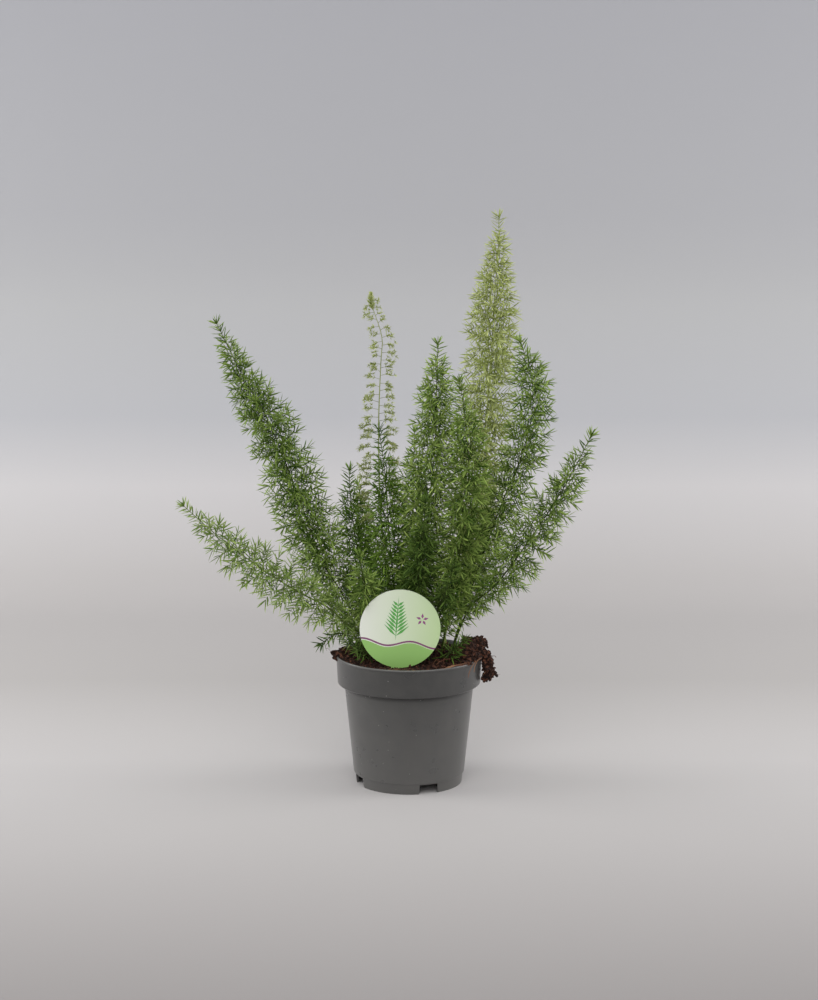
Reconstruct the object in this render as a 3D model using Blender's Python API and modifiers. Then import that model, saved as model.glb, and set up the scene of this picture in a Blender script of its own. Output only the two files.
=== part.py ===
"""A foxtail fern in its 12 cm nursery pot.

The pot is one moulded shell with a stepped rim band and a notched foot. Soil fills it, heaped at
the right, where a clump hangs over the rim. A round plant label stands in the soil at the front.
Nineteen leafy stems rise from holes in the soil. Each is a slim core with three-sided needles that
grow out of it.

Run it with blender --background --python part.py, or from Blender's text editor.
Units are metres, +Z is up, -Y is the front, and the origin is the centre of the pot's underside.
"""
import math
import random
from collections import namedtuple

import bmesh
import bpy
import numpy
from mathutils import Matrix, Vector, noise
from mathutils.bvhtree import BVHTree

MM = 0.001
SEAT_GAP = 0.3 * MM           # left between two pieces that touch
MERGE = 0.00001

# The pot, in radii and heights
POT_SIDES = 40
RIM_RADIUS = 60.0 * MM
RIM_HEIGHT = 107.0 * MM
BAND_RADIUS = 58.4 * MM       # lower edge of the rim band
BAND_BOTTOM = 83.3 * MM
BODY_TOP_RADIUS = 52.8 * MM
BODY_TOP = 81.0 * MM
BODY_BOTTOM_RADIUS = 45.5 * MM
FOOT_HEIGHT = 8.5 * MM
FOOT_TOP_RADIUS = 44.3 * MM
FOOT_RADIUS = 43.4 * MM
FOOT_RING = 1.8 * MM          # thickness of the foot ring
WALL = 1.4 * MM
PAD_RADIUS = 22.0 * MM        # middle of the base, which reaches down to the ground
PAD_SLOPE = 3.4 * MM
NOTCH_WIDTH = 16.5 * MM
NOTCH_HEIGHT = 7.9 * MM
NOTCH_TAPER = 0.94
NOTCH_COUNT = 4
FIRST_NOTCH = math.radians(21.5)      # from the front towards the right
DRAIN_RADIUS = 4.5 * MM
DRAIN_PLACE = 34.0 * MM

# The soil
SOIL_LEVEL = 104.0 * MM
SOIL_EDGE = 98.0 * MM         # lowest height of the surface's edge at the wall
SOIL_RINGS = 6
SOIL_ROUGHNESS = 1.6 * MM
SOIL_GRAIN = 9.0 * MM         # size of the surface's lumps
# Each heap is x, y, height and spread
HEAPS = ((49, -5, 11, 12), (-50, -6, 5, 12), (0, 8, 3, 24), (-8, -46, 1.5, 12))
# The lumps at the left rim, of the clump at the right, and of its tail outside the rim:
# x, y, z and radius
CLUMPS = ((-55.5, -7, 107.5, 6), (45, -17, 111, 7.5), (50, -11, 114, 8.5), (57, -6, 114, 7.5),
          (62, -8, 109.5, 5.5), (64.4, -6.5, 104, 3.8), (66.2, -8, 98.5, 5.4),
          (66.4, -5.6, 93.5, 5.2), (64, -7.5, 89, 3.4))
LUMP_ROUGHNESS = 0.6          # as a share of a lump's radius

# The label
LABEL_RADIUS = 32.3 * MM
LABEL_THICKNESS = 0.8 * MM
LABEL_CENTRE = Vector((-7.1, -45.0, 137.9)) * MM
LABEL_FORWARD = math.radians(3.0)     # the top leans to the front
LABEL_ROLL = math.radians(4.5)        # clockwise, seen from the front
STAKE_WIDTH = 10.0 * MM
STAKE_LENGTH = 38.0 * MM              # below the disc
LABEL_ARC_POINTS = 40
SLOT_TOP = 25.0 * MM                  # above the disc's lowest point

# The leafy stems
STEM_RADIUS = 1.5 * MM
STEM_SIDES_EXTRA = 1                  # bevel resolution 1 gives six sides
ROOT_DEPTH = 16.0 * MM
COLLAR = 7.0 * MM                     # straight length above the soil
HOLE_OVERRUN = 14.0 * MM              # how far a hole's cutter reaches past the route's start
HOLE_SIDES = 8
FOOT_WIDTH = 0.45                     # of a plume at its foot, as a share of its reach
FOOT_GROWTH = 2.6                     # what it gains over its whole length
TIP_NARROWING = 0.82
TIP_TAPER = 0.17                      # share of the length over which it narrows most
CORE_SHARE = 0.27                     # core radius, as a share of the plume's
CORE_STEP = 30.0 * MM
CORE_CLEARANCE = 1.0 * MM
BARE_LENGTH = 26.0 * MM                # of a stem, from its foot to its first needles
CORE_SWELL = 40.0 * MM                # the core then thickens over this length
NEEDLE_LENGTH = 17.0 * MM
NEEDLE_RADIUS = 1.15 * MM             # at its root; it tapers to a point
NEEDLE_SINK = 1.8 * MM
NEEDLE_SHORTEST = 0.55                # as a share of the usual length
NEEDLE_START = 2.0 * MM               # clearances are taken from here on
SKIN_SHARE = 0.87                     # of the core's radius, which touches its flat sides
NEEDLE_GAP = 2.1 * MM                 # from other needles, measured between their centre lines
NEEDLE_TO_BODY = 1.5 * MM             # from pot, soil and label
NEEDLE_SAMPLES = 9
NEEDLE_LEAN = math.radians(62)
TIP_LEAN = math.radians(24)
TIP_LEAN_FROM = 0.82                  # share of the length from which needles turn upward
GOLDEN_ANGLE = math.radians(137.5)
TRIES = 5
TRY_TURN = 0.37                       # of a golden angle between tries

DARK_GREEN = (0.055, 0.13, 0.025)
MID_GREEN = (0.09, 0.19, 0.035)
LIGHT_GREEN = (0.16, 0.27, 0.06)
PALE_GREEN = (0.36, 0.46, 0.10)

# A stem's route starts where it leaves the soil; x, y and z are in millimetres.
# reach is the plume's radius in millimetres.
Plume = namedtuple("Plume", "name route reach needles colour")
PLUMES = (
    Plume("plume_low_left",
          ((-36, -8, 107), (-60, -30, 148), (-90, -45, 169), (-120, -58, 192), (-152, -66, 219),
           (-176, -70, 242)), 22, 74, LIGHT_GREEN),
    Plume("plume_tall_left",
          ((-30, 2, 107), (-52, 5, 151), (-73, 12, 187), (-92, 22, 238), (-115, 28, 295),
           (-134, 28, 329), (-156, 24, 376)), 27, 98, MID_GREEN),
    Plume("plume_short_left",
          ((-24, 12, 106), (-35, 22, 155), (-44, 35, 195), (-49, 42, 235), (-49, 44, 252)),
          18, 52, DARK_GREEN),
    Plume("plume_dark_centre",
          ((-8, 0, 106), (-12, -6, 161), (-16, -10, 207), (-19, -13, 255), (-24, -16, 295)),
          17, 60, DARK_GREEN),
    Plume("plume_tall_centre",
          ((4, -8, 106), (10, -12, 162), (15, -20, 222), (21, -26, 287), (22, -28, 336),
           (23, -28, 365)), 23, 92, MID_GREEN),
    Plume("plume_tall_pale",
          ((28, 28, 105), (41, 42, 151), (53, 50, 200), (62, 56, 275), (67, 57, 333),
           (70, 55, 391), (73, 50, 436), (73, 46, 460)), 25, 107, PALE_GREEN),
    Plume("plume_curved_right",
          ((36, 6, 108), (56, 6, 175), (75, 4, 230), (91, 0, 271), (99, -4, 308), (97, -6, 341),
           (88, -6, 364)), 21, 88, MID_GREEN),
    Plume("plume_far_right",
          ((36, -8, 111), (50, -16, 150), (70, -26, 170), (100, -40, 211), (126, -50, 254),
           (145, -56, 293)), 21, 80, MID_GREEN),
    Plume("plume_front_right",
          ((26, -14, 106), (35, -26, 165), (43, -38, 217), (47, -45, 266), (44, -48, 310),
           (39, -48, 338)), 20, 78, MID_GREEN),
    Plume("plume_front_left",
          ((-20, -14, 105), (-30, -30, 150), (-36, -50, 179), (-39, -66, 201)), 16, 38, MID_GREEN),
    Plume("plume_front_centre",
          ((2, -20, 105), (5, -26, 157), (10, -42, 201), (13, -54, 243)), 17, 46, MID_GREEN),
    Plume("plume_back_left",
          ((-16, 32, 106), (-22, 50, 149), (-34, 84, 190), (-44, 118, 228)), 19, 42, MID_GREEN),
    Plume("plume_back_centre",
          ((2, 34, 106), (1, 50, 149), (3, 85, 202), (4, 112, 245), (5, 126, 272)),
          19, 48, DARK_GREEN),
    Plume("plume_back_right",
          ((20, 40, 105), (34, 58, 149), (56, 92, 190), (72, 120, 222)), 19, 42, MID_GREEN),
    Plume("sprig_label_right",
          ((16, -24, 106), (22, -34, 147), (29, -48, 169), (35, -58, 190)), 14, 28, MID_GREEN),
    Plume("sprig_rim_left",
          ((-38, -20, 106), (-52, -30, 130), (-61, -39, 131), (-70, -46, 126)), 12, 20,
          LIGHT_GREEN),
    Plume("sprig_base_left",
          ((-30, -26, 106), (-40, -35, 118), (-47, -43, 126)), 11, 14, MID_GREEN),
    Plume("sprig_base_right",
          ((30, -26, 105), (37, -35, 119), (44, -42, 128)), 11, 14, MID_GREEN),
)

# The young shoot has thin drooping branchlets, left and right in turn, instead of needles
SHOOT_NAME = "shoot_young"
SHOOT_ROUTE = ((-10, 16, 106), (-17, 26, 163), (-23, 34, 212), (-25, 38, 284), (-23, 36, 342),
               (-22, 34, 363), (-30, 31, 389), (-31, 30, 399))
SHOOT_RADIUS = 1.2 * MM
BRANCHLET_COUNT = 40
BRANCHLET_FROM = 0.38                 # share of the shoot's length that is bare
BRANCHLET_LENGTHS = (16.0 * MM, 8.0 * MM)
BRANCHLET_WIDTH = 0.8                 # as a share of a needle's
BRANCHLET_LEAN = math.radians(100)
BRANCHLET_SIDE_SPREAD = math.radians(50)


def main():
    """Clear the scene and build every piece."""
    for obj in list(bpy.data.objects):
        bpy.data.objects.remove(obj)
    parts = new_collection("Foxtail fern in nursery pot")
    cutters = new_collection("Cutters")

    pot = make_pot(parts, cutters)
    label = make_label(parts)
    routes = {plume.name: stem_line(plume.route) for plume in PLUMES}
    routes[SHOOT_NAME] = stem_line(SHOOT_ROUTE)
    soil = make_soil(parts, cutters, routes)
    make_foliage(parts, routes, (pot, soil, label))
    cutters.hide_render = True


# Helpers for objects

def new_collection(name):
    """Add a collection to the scene."""
    collection = bpy.data.collections.new(name)
    bpy.context.scene.collection.children.link(collection)
    return collection


def new_material(name, colour, roughness):
    """Make a plain Principled finish."""
    material = bpy.data.materials.new(name)
    material.use_nodes = True
    principled = material.node_tree.nodes["Principled BSDF"]
    principled.inputs["Base Color"].default_value = (*colour, 1.0)
    principled.inputs["Roughness"].default_value = roughness
    return material


def object_from(mesh, name, collection):
    """Put a mesh in a new object in the collection."""
    obj = bpy.data.objects.new(name, mesh)
    collection.objects.link(obj)
    return obj


def object_from_bmesh(shape, name, collection):
    """Turn a bmesh into a new object."""
    mesh = bpy.data.meshes.new(name)
    shape.to_mesh(mesh)
    shape.free()
    return object_from(mesh, name, collection)


def as_cutter(obj):
    """Mark an object that only cuts."""
    obj.hide_render = True
    obj.display_type = "WIRE"
    return obj


def evaluated_mesh(obj):
    """Return the object's mesh with its modifiers applied."""
    graph = bpy.context.evaluated_depsgraph_get()
    return bpy.data.meshes.new_from_object(obj.evaluated_get(graph))


def welded_mesh(curve_object):
    """Turn a curve into a mesh and weld its loose caps to its sides."""
    mesh = evaluated_mesh(curve_object)
    shape = bmesh.new()
    shape.from_mesh(mesh)
    bmesh.ops.remove_doubles(shape, verts=shape.verts, dist=MERGE)
    shape.to_mesh(mesh)
    shape.free()
    return mesh


def add_boolean(obj, operation, operand):
    """Cut with, or join, an object or a whole collection."""
    boolean = obj.modifiers.new(operation.title(), "BOOLEAN")
    boolean.operation = operation
    if isinstance(operand, bpy.types.Collection):
        boolean.operand_type = "COLLECTION"
        boolean.collection = operand
    else:
        boolean.object = operand


def turned(points, name, collection, sides=POT_SIDES):
    """Turn a profile of radii and heights about Z; it runs top to bottom on its outer side."""
    shape = bmesh.new()
    corners = [shape.verts.new((radius, 0, height)) for radius, height in points]
    for first, second in zip(corners, corners[1:]):
        shape.edges.new((first, second))
    obj = object_from_bmesh(shape, name, collection)
    screw = obj.modifiers.new("Turn", "SCREW")
    screw.steps = sides
    screw.render_steps = sides
    screw.use_merge_vertices = True
    screw.merge_threshold = MERGE
    return obj


def around(angle, radius, height):
    """Return a point at an angle from the front towards the right."""
    return Vector((radius * math.sin(angle), -radius * math.cos(angle), height))


# The pot

def inside_profile():
    """Return the pot's inner wall, from the axis out and up to the rim."""
    floor = FOOT_HEIGHT + WALL
    return [(0, WALL), (PAD_RADIUS - WALL, WALL), (PAD_RADIUS + PAD_SLOPE - WALL, floor),
            (BODY_BOTTOM_RADIUS - WALL, floor), (BODY_TOP_RADIUS - WALL, BODY_TOP + 0.6 * WALL),
            (BAND_RADIUS - WALL, BAND_BOTTOM + 0.8 * WALL),
            (RIM_RADIUS - WALL, RIM_HEIGHT - 0.6 * WALL)]


def outside_profile():
    """Return the rim, the outer wall, the foot and the underside, back to the axis."""
    rim = [(RIM_RADIUS - 0.7 * WALL, RIM_HEIGHT), (RIM_RADIUS - 0.3 * WALL, RIM_HEIGHT),
           (RIM_RADIUS, RIM_HEIGHT - 0.5 * WALL)]
    band = [(BAND_RADIUS, BAND_BOTTOM + 0.4 * WALL), (BAND_RADIUS - 0.4 * WALL, BAND_BOTTOM),
            (BODY_TOP_RADIUS + 0.4 * WALL, BAND_BOTTOM - 0.4 * WALL)]
    body = [(BODY_TOP_RADIUS, BODY_TOP), (BODY_BOTTOM_RADIUS, FOOT_HEIGHT + 0.6 * WALL),
            (FOOT_TOP_RADIUS, FOOT_HEIGHT)]
    foot = [(FOOT_RADIUS, 0), (FOOT_RADIUS - FOOT_RING, 0),
            (FOOT_TOP_RADIUS - 1.3 * FOOT_RING, FOOT_HEIGHT)]
    pad = [(PAD_RADIUS + PAD_SLOPE, FOOT_HEIGHT), (PAD_RADIUS, 0), (0, 0)]
    return rim + band + body + foot + pad


def make_pot(parts, cutters):
    """Turn the pot, then cut the foot's notches and the drain holes."""
    pot = turned(inside_profile() + outside_profile(), "pot", parts)
    for index in range(NOTCH_COUNT):
        angle = FIRST_NOTCH + index * math.tau / NOTCH_COUNT
        add_boolean(pot, "DIFFERENCE", notch_cutter(angle, cutters))
        add_boolean(pot, "DIFFERENCE", drain_cutter(angle, cutters))
    pot.data.materials.append(new_material("Grey plastic", (0.09, 0.095, 0.10), 0.4))
    pot.data.shade_smooth()
    return pot


def notch_cutter(angle, cutters):
    """A block with slanted sides that cuts one gap in the foot ring."""
    below = 1.0 * MM
    depth = 9.0 * MM
    shape = bmesh.new()
    bmesh.ops.create_cube(shape, size=1)
    for vertex in shape.verts:
        width = NOTCH_WIDTH * (NOTCH_TAPER if vertex.co.z > 0 else 1)
        height = NOTCH_HEIGHT if vertex.co.z > 0 else -below
        vertex.co = Vector((vertex.co.x * width, vertex.co.y * depth, height))
    cutter = object_from_bmesh(shape, "notch cutter", cutters)
    cutter.location = around(angle, FOOT_RADIUS, 0)
    cutter.rotation_euler.z = angle
    return as_cutter(cutter)


def drain_cutter(angle, cutters):
    """A short cylinder that cuts one drain hole in the raised part of the base."""
    shape = bmesh.new()
    bmesh.ops.create_cone(shape, cap_ends=True, segments=10, radius1=DRAIN_RADIUS,
                          radius2=DRAIN_RADIUS, depth=6 * WALL)
    cutter = object_from_bmesh(shape, "drain cutter", cutters)
    cutter.location = around(angle, DRAIN_PLACE, FOOT_HEIGHT)
    return as_cutter(cutter)


# The label

def label_matrix():
    """Stand the flat outline up, facing the front, rolled and leaning forward."""
    return (Matrix.Translation(LABEL_CENTRE) @ Matrix.Rotation(LABEL_FORWARD, 4, "X")
            @ Matrix.Rotation(LABEL_ROLL, 4, "Y") @ Matrix.Rotation(math.radians(90), 4, "X"))


def make_label(parts):
    """A flat disc with a stake below it, cut from one sheet."""
    half = STAKE_WIDTH / 2
    opening = math.asin(half / LABEL_RADIUS)
    sweep = math.tau - 2 * opening
    down = -math.pi / 2
    outline = [(LABEL_RADIUS * math.cos(down + opening + sweep * step / LABEL_ARC_POINTS),
                LABEL_RADIUS * math.sin(down + opening + sweep * step / LABEL_ARC_POINTS))
               for step in range(LABEL_ARC_POINTS + 1)]
    end = -(LABEL_RADIUS + STAKE_LENGTH)
    outline += [(-half, end + half), (0, end), (half, end + half)]

    curve = bpy.data.curves.new("label", "CURVE")
    curve.dimensions = "2D"
    curve.fill_mode = "BOTH"
    curve.extrude = LABEL_THICKNESS / 2
    spline = curve.splines.new("POLY")
    spline.points.add(len(outline) - 1)
    for point, (across, up) in zip(spline.points, outline):
        point.co = (across, up, 0, 1)
    spline.use_cyclic_u = True
    flat = object_from(curve, "label outline", parts)
    label = object_from(welded_mesh(flat), "label", parts)
    label.matrix_world = label_matrix()
    bpy.data.objects.remove(flat)
    label.data.materials.append(new_material("Label plastic", (0.62, 0.76, 0.45), 0.35))
    return label


def slot_cutter(cutters):
    """The slot that the stake stands in."""
    shape = bmesh.new()
    bmesh.ops.create_cube(shape, size=1)
    top = -LABEL_RADIUS + SLOT_TOP
    bottom = -(LABEL_RADIUS + STAKE_LENGTH + SEAT_GAP)
    for vertex in shape.verts:
        vertex.co = Vector((vertex.co.x * (STAKE_WIDTH + 2 * SEAT_GAP),
                            top if vertex.co.y > 0 else bottom,
                            vertex.co.z * (LABEL_THICKNESS + 2 * SEAT_GAP)))
    cutter = object_from_bmesh(shape, "slot cutter", cutters)
    cutter.matrix_world = label_matrix()
    return as_cutter(cutter)


# The soil

def soil_height(x, y):
    """Height of the soil's surface: a rough level with a few heaps."""
    height = SOIL_LEVEL + SOIL_ROUGHNESS * noise.noise(Vector((x, y, 0)) / SOIL_GRAIN)
    for heap_x, heap_y, rise, spread in HEAPS:
        away = math.hypot(x - heap_x * MM, y - heap_y * MM) / (spread * MM)
        height += rise * MM * math.exp(-0.5 * away * away)
    return height


def inset_profile(points, gap):
    """Move a profile inward by the gap, corner by corner; its two ends stay at their places."""
    normals = []
    for (r0, z0), (r1, z1) in zip(points, points[1:]):
        length = math.hypot(r1 - r0, z1 - z0)
        normals.append(((z0 - z1) / length, (r1 - r0) / length))
    inner = [(points[0][0], points[0][1] + gap)]
    for (radius, height), (a, b), (c, d) in zip(points[1:-1], normals, normals[1:]):
        scale = gap / (a * d - b * c)
        inner.append((radius + scale * (d - b), height + scale * (a - c)))
    inner.append((points[-1][0] - gap, points[-1][1]))
    return inner


def soil_profile():
    """The soil's surface from the axis out, its side down along the wall, and its underside."""
    wall = inset_profile(inside_profile(), SEAT_GAP)
    (low_radius, low), (high_radius, high) = wall[-2:]
    edge = low_radius + (high_radius - low_radius) * (SOIL_EDGE - low) / (high - low)
    surface = [(edge * ring / SOIL_RINGS, SOIL_LEVEL) for ring in range(SOIL_RINGS)]
    return surface + [(edge, SOIL_EDGE)] + wall[-2::-1]


def make_soil(parts, cutters, routes):
    """Turn the soil's body, raise its surface, add the clump and cut the holes."""
    lathe = turned(soil_profile(), "soil lathe", parts)
    mesh = evaluated_mesh(lathe)
    bpy.data.objects.remove(lathe)
    for vertex in mesh.vertices:
        if vertex.co.z > SOIL_EDGE - MERGE:
            vertex.co.z = soil_height(vertex.co.x, vertex.co.y)
    soil = object_from(mesh, "soil", parts)

    lumps = new_collection("Soil lumps")
    for index, (x, y, z, radius) in enumerate(CLUMPS):
        soil_lump(index, Vector((x, y, z)) * MM, radius * MM, lumps)
    add_boolean(soil, "UNION", lumps)
    add_boolean(soil, "DIFFERENCE", rim_cutter(cutters))
    add_boolean(soil, "DIFFERENCE", slot_cutter(cutters))
    for name, line in routes.items():
        add_boolean(soil, "DIFFERENCE", hole_cutter(name, line, cutters))
    soil.data = evaluated_mesh(soil)
    soil.modifiers.clear()
    keep_largest_body(soil)
    remove_all(lumps)
    soil.data.materials.append(new_material("Peat", (0.035, 0.02, 0.013), 0.95))
    return soil


def soil_lump(index, centre, radius, lumps):
    """A rough ball of peat."""
    shape = bmesh.new()
    bmesh.ops.create_icosphere(shape, subdivisions=2, radius=radius)
    for vertex in shape.verts:
        bump = noise.noise(vertex.co / (0.5 * radius) + Vector((index, 0, 0)))
        vertex.co *= 1 + LUMP_ROUGHNESS * bump
    lump = object_from_bmesh(shape, "soil lump", lumps)
    lump.location = centre


def rim_cutter(cutters):
    """A ring a little larger than the rim, which keeps the clump clear of the pot."""
    outer = RIM_RADIUS + SEAT_GAP
    inner = RIM_RADIUS - WALL - 2 * SEAT_GAP
    top = RIM_HEIGHT + SEAT_GAP
    bottom = BODY_TOP
    ring = turned([(inner, bottom), (inner, top), (outer, top), (outer, bottom),
                   (inner, bottom)], "rim cutter", cutters)
    return as_cutter(ring)


def hole_cutter(name, line, cutters):
    """A plain hole along a stem's foot."""
    radius = (STEM_RADIUS + SEAT_GAP) / math.cos(math.pi / HOLE_SIDES)
    foot = line[0]
    along = (line[1] - line[0]).normalized()
    length = ROOT_DEPTH + HOLE_OVERRUN
    shape = bmesh.new()
    bmesh.ops.create_cone(shape, cap_ends=True, segments=HOLE_SIDES, radius1=radius,
                          radius2=radius, depth=length)
    cutter = object_from_bmesh(shape, "hole for " + name, cutters)
    middle = foot + along * (length / 2 - SEAT_GAP)
    cutter.matrix_world = Matrix.Translation(middle) @ turn_to(along)
    return as_cutter(cutter)


def turn_to(direction):
    """A rotation that takes +Z to a direction."""
    return direction.to_track_quat("Z", "Y").to_matrix().to_4x4()


# The leafy stems

def stem_line(route):
    """A smooth line through a route, with a straight foot in the soil before it."""
    knots = [Vector(point) * MM for point in route]
    upright = ((knots[1] - knots[0]).normalized() + Vector((0, 0, 1))).normalized()
    foot = knots[0] - upright * ROOT_DEPTH
    collar = knots[0] + upright * COLLAR
    knots = [foot, collar] + knots[1:]
    line = [foot]
    for index in range(1, len(knots) - 1):
        before, start, end = knots[index - 1], knots[index], knots[index + 1]
        after = knots[min(index + 2, len(knots) - 1)]
        count = max(1, round((end - start).length / CORE_STEP))
        line += [spline_point(before, start, end, after, step / count) for step in range(count)]
    line.append(knots[-1])
    return line


def spline_point(before, start, end, after, share):
    """A point of the Catmull-Rom curve between start and end."""
    square, cube = share * share, share ** 3
    return 0.5 * (2 * start + (end - before) * share
                  + (2 * before - 5 * start + 4 * end - after) * square
                  + (3 * start - before - 3 * end + after) * cube)


def envelope(share):
    """A plume's radius along its length, from 0 to 1: it fills out fast and tapers to its tip."""
    swell = min(1.0, FOOT_WIDTH + FOOT_GROWTH * share)
    return swell * (1 - TIP_NARROWING * math.exp((share - 1) / TIP_TAPER))


def core_radii(name, reach, routes):
    """The core's radius at each point: slim, and clear of every other stem's line."""
    line = routes[name]
    others = numpy.array([tuple(point) for other, path in routes.items() if other != name
                          for point in dense(path)])
    lengths = running_lengths(line)
    radii = []
    for point, length in zip(line, lengths):
        share = length / lengths[-1]
        swell = min(1, max(0, (length - BARE_LENGTH) / CORE_SWELL))
        wanted = reach * MM * CORE_SHARE * envelope(share) * swell
        nearest = numpy.linalg.norm(others - numpy.array(tuple(point)), axis=1).min()
        radii.append(max(STEM_RADIUS, min(wanted, nearest / 2 - CORE_CLEARANCE)))
    radii[0] = radii[1] = STEM_RADIUS
    radii[-1] = STEM_RADIUS
    return radii


def running_lengths(line):
    """The distance along a line at each of its points."""
    lengths = [0.0]
    for first, second in zip(line, line[1:]):
        lengths.append(lengths[-1] + (second - first).length)
    return lengths


def dense(line, pieces=5):
    """More points along a line, straight between its own."""
    return [first.lerp(second, step / pieces) for first, second in zip(line, line[1:])
            for step in range(pieces)] + [line[-1]]


def core_mesh(name, line, radii, parts):
    """A tube along the line with its own radius at each point."""
    curve = bpy.data.curves.new(name, "CURVE")
    curve.dimensions = "3D"
    curve.bevel_depth = 1.0
    curve.bevel_resolution = STEM_SIDES_EXTRA
    curve.use_fill_caps = True
    spline = curve.splines.new("POLY")
    spline.points.add(len(line) - 1)
    for point, place, radius in zip(spline.points, line, radii):
        point.co = (*place, 1)
        point.radius = radius
    tube = object_from(curve, name + " line", parts)
    mesh = welded_mesh(tube)
    bpy.data.objects.remove(tube)
    return mesh


def place_along(line, radii, share):
    """The point, direction and core radius at a share of the line's length."""
    lengths = running_lengths(line)
    target = share * lengths[-1]
    index = next((i for i in range(1, len(line)) if lengths[i] >= target), len(line) - 1)
    part = (target - lengths[index - 1]) / (lengths[index] - lengths[index - 1])
    direction = (line[index] - line[index - 1]).normalized()
    radius = radii[index - 1] + (radii[index] - radii[index - 1]) * part
    return line[index - 1].lerp(line[index], part), direction, radius


def aim(direction, angle, lean):
    """A direction that leans away from the stem's, at an angle round it."""
    side = direction.cross(Vector((0, 1, 0))).normalized()
    front = side.cross(direction)
    out = side * math.cos(angle) + front * math.sin(angle)
    return (direction * math.cos(lean) + out * math.sin(lean)).normalized()


class Crowd:
    """What is already there, and how near to it a new needle may come."""

    def __init__(self, bodies, cores):
        self.trees = [body_tree(body) for body in bodies]
        self.cores = {}
        for name, (line, radii) in cores.items():
            widths = numpy.interp(numpy.arange(5 * (len(line) - 1) + 1) / 5,
                                  numpy.arange(len(line)), radii)
            self.cores[name] = (numpy.array([tuple(p) for p in dense(line)]), widths)
        self.needles = numpy.zeros((0, 3))

    def clear(self, name, start, end):
        """Say whether a needle from start to end stays clear of the rest."""
        samples = numpy.linspace(tuple(start), tuple(end), NEEDLE_SAMPLES)
        for tree in self.trees:
            for sample in samples:
                if tree.find_nearest(Vector(sample), NEEDLE_TO_BODY)[0] is not None:
                    return False
            if tree.ray_cast(start, (end - start).normalized(), (end - start).length)[0]:
                return False
        for other, (points, widths) in self.cores.items():
            if other != name:
                gaps = distances(samples, points) - widths
                if gaps.min() < CORE_CLEARANCE + NEEDLE_RADIUS:
                    return False
        if len(self.needles) and distances(samples, self.needles).min() < NEEDLE_GAP:
            return False
        self.needles = numpy.vstack((self.needles, samples))
        return True


def body_tree(body):
    """A search tree over an object's evaluated surface, in world space."""
    shape = bmesh.new()
    shape.from_mesh(evaluated_mesh(body))
    shape.transform(body.matrix_basis)
    tree = BVHTree.FromBMesh(shape)
    shape.free()
    return tree


def distances(first, second):
    """The distance from each of the first points to each of the second."""
    return numpy.linalg.norm(first[:, None, :] - second[None, :, :], axis=2)


def needle_mesh():
    """A three-sided needle along +Z, from its root at the origin, one unit long."""
    shape = bmesh.new()
    bmesh.ops.create_cone(shape, cap_ends=True, segments=3, radius1=NEEDLE_RADIUS, radius2=0,
                          depth=1, matrix=Matrix.Translation((0, 0, 0.5)))
    mesh = bpy.data.meshes.new("needle")
    shape.to_mesh(mesh)
    shape.free()
    return mesh


def add_needle(mesh, root, direction, length, needles, width=1.0):
    """Place one needle, its width given as a share of the usual one."""
    needle = object_from(mesh, "needle", needles)
    needle.matrix_world = (Matrix.Translation(root) @ turn_to(direction)
                           @ Matrix.Diagonal((width, width, length, 1)))


def grow_needles(plume, line, radii, crowd, mesh, needles, chance):
    """Needles all round a plume, in a golden-angle spiral out to its tip."""
    bare = BARE_LENGTH / running_lengths(line)[-1]
    for index in range(plume.needles):
        share = bare + (1 - bare) * (index + 0.5) / plume.needles
        place, direction, radius = place_along(line, radii, min(share, 0.995))
        near_tip = max(0, (share - TIP_LEAN_FROM) / (1 - TIP_LEAN_FROM))
        lean = NEEDLE_LEAN + (TIP_LEAN - NEEDLE_LEAN) * near_tip
        sink = min(NEEDLE_SINK, 0.8 * radius)
        for attempt in range(TRIES):
            angle = (index + attempt * TRY_TURN) * GOLDEN_ANGLE + chance.uniform(-0.2, 0.2)
            heading = aim(direction, angle, lean * chance.uniform(0.9, 1.08))
            skin = place + aim(direction, angle, math.pi / 2) * radius * SKIN_SHARE
            wanted = (plume.reach * MM * envelope(share) - radius) / math.sin(lean)
            length = min(NEEDLE_LENGTH, max(NEEDLE_SHORTEST * NEEDLE_LENGTH, wanted))
            start = skin + heading * NEEDLE_START
            if crowd.clear(plume.name, start, skin + heading * length):
                add_needle(mesh, skin - heading * sink, heading, length + sink, needles)
                break


def grow_branchlets(line, radii, crowd, mesh, needles, chance):
    """Drooping branchlets, left and right in turn, shorter towards the shoot's tip."""
    for index in range(BRANCHLET_COUNT):
        part = (index + 0.5) / BRANCHLET_COUNT
        share = BRANCHLET_FROM + (1 - BRANCHLET_FROM) * part
        place, direction, radius = place_along(line, radii, min(share, 0.99))
        longest, shortest = BRANCHLET_LENGTHS
        length = longest + (shortest - longest) * part
        lean = BRANCHLET_LEAN * (1 - 0.75 * max(0, (part - 0.9) / 0.1))
        side = math.pi * (index % 2)
        angle = side + chance.uniform(-1, 1) * BRANCHLET_SIDE_SPREAD
        heading = aim(direction, angle, lean)
        if crowd.clear(SHOOT_NAME, place + heading * NEEDLE_START, place + heading * length):
            add_needle(mesh, place, heading, length, needles, BRANCHLET_WIDTH)


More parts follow.
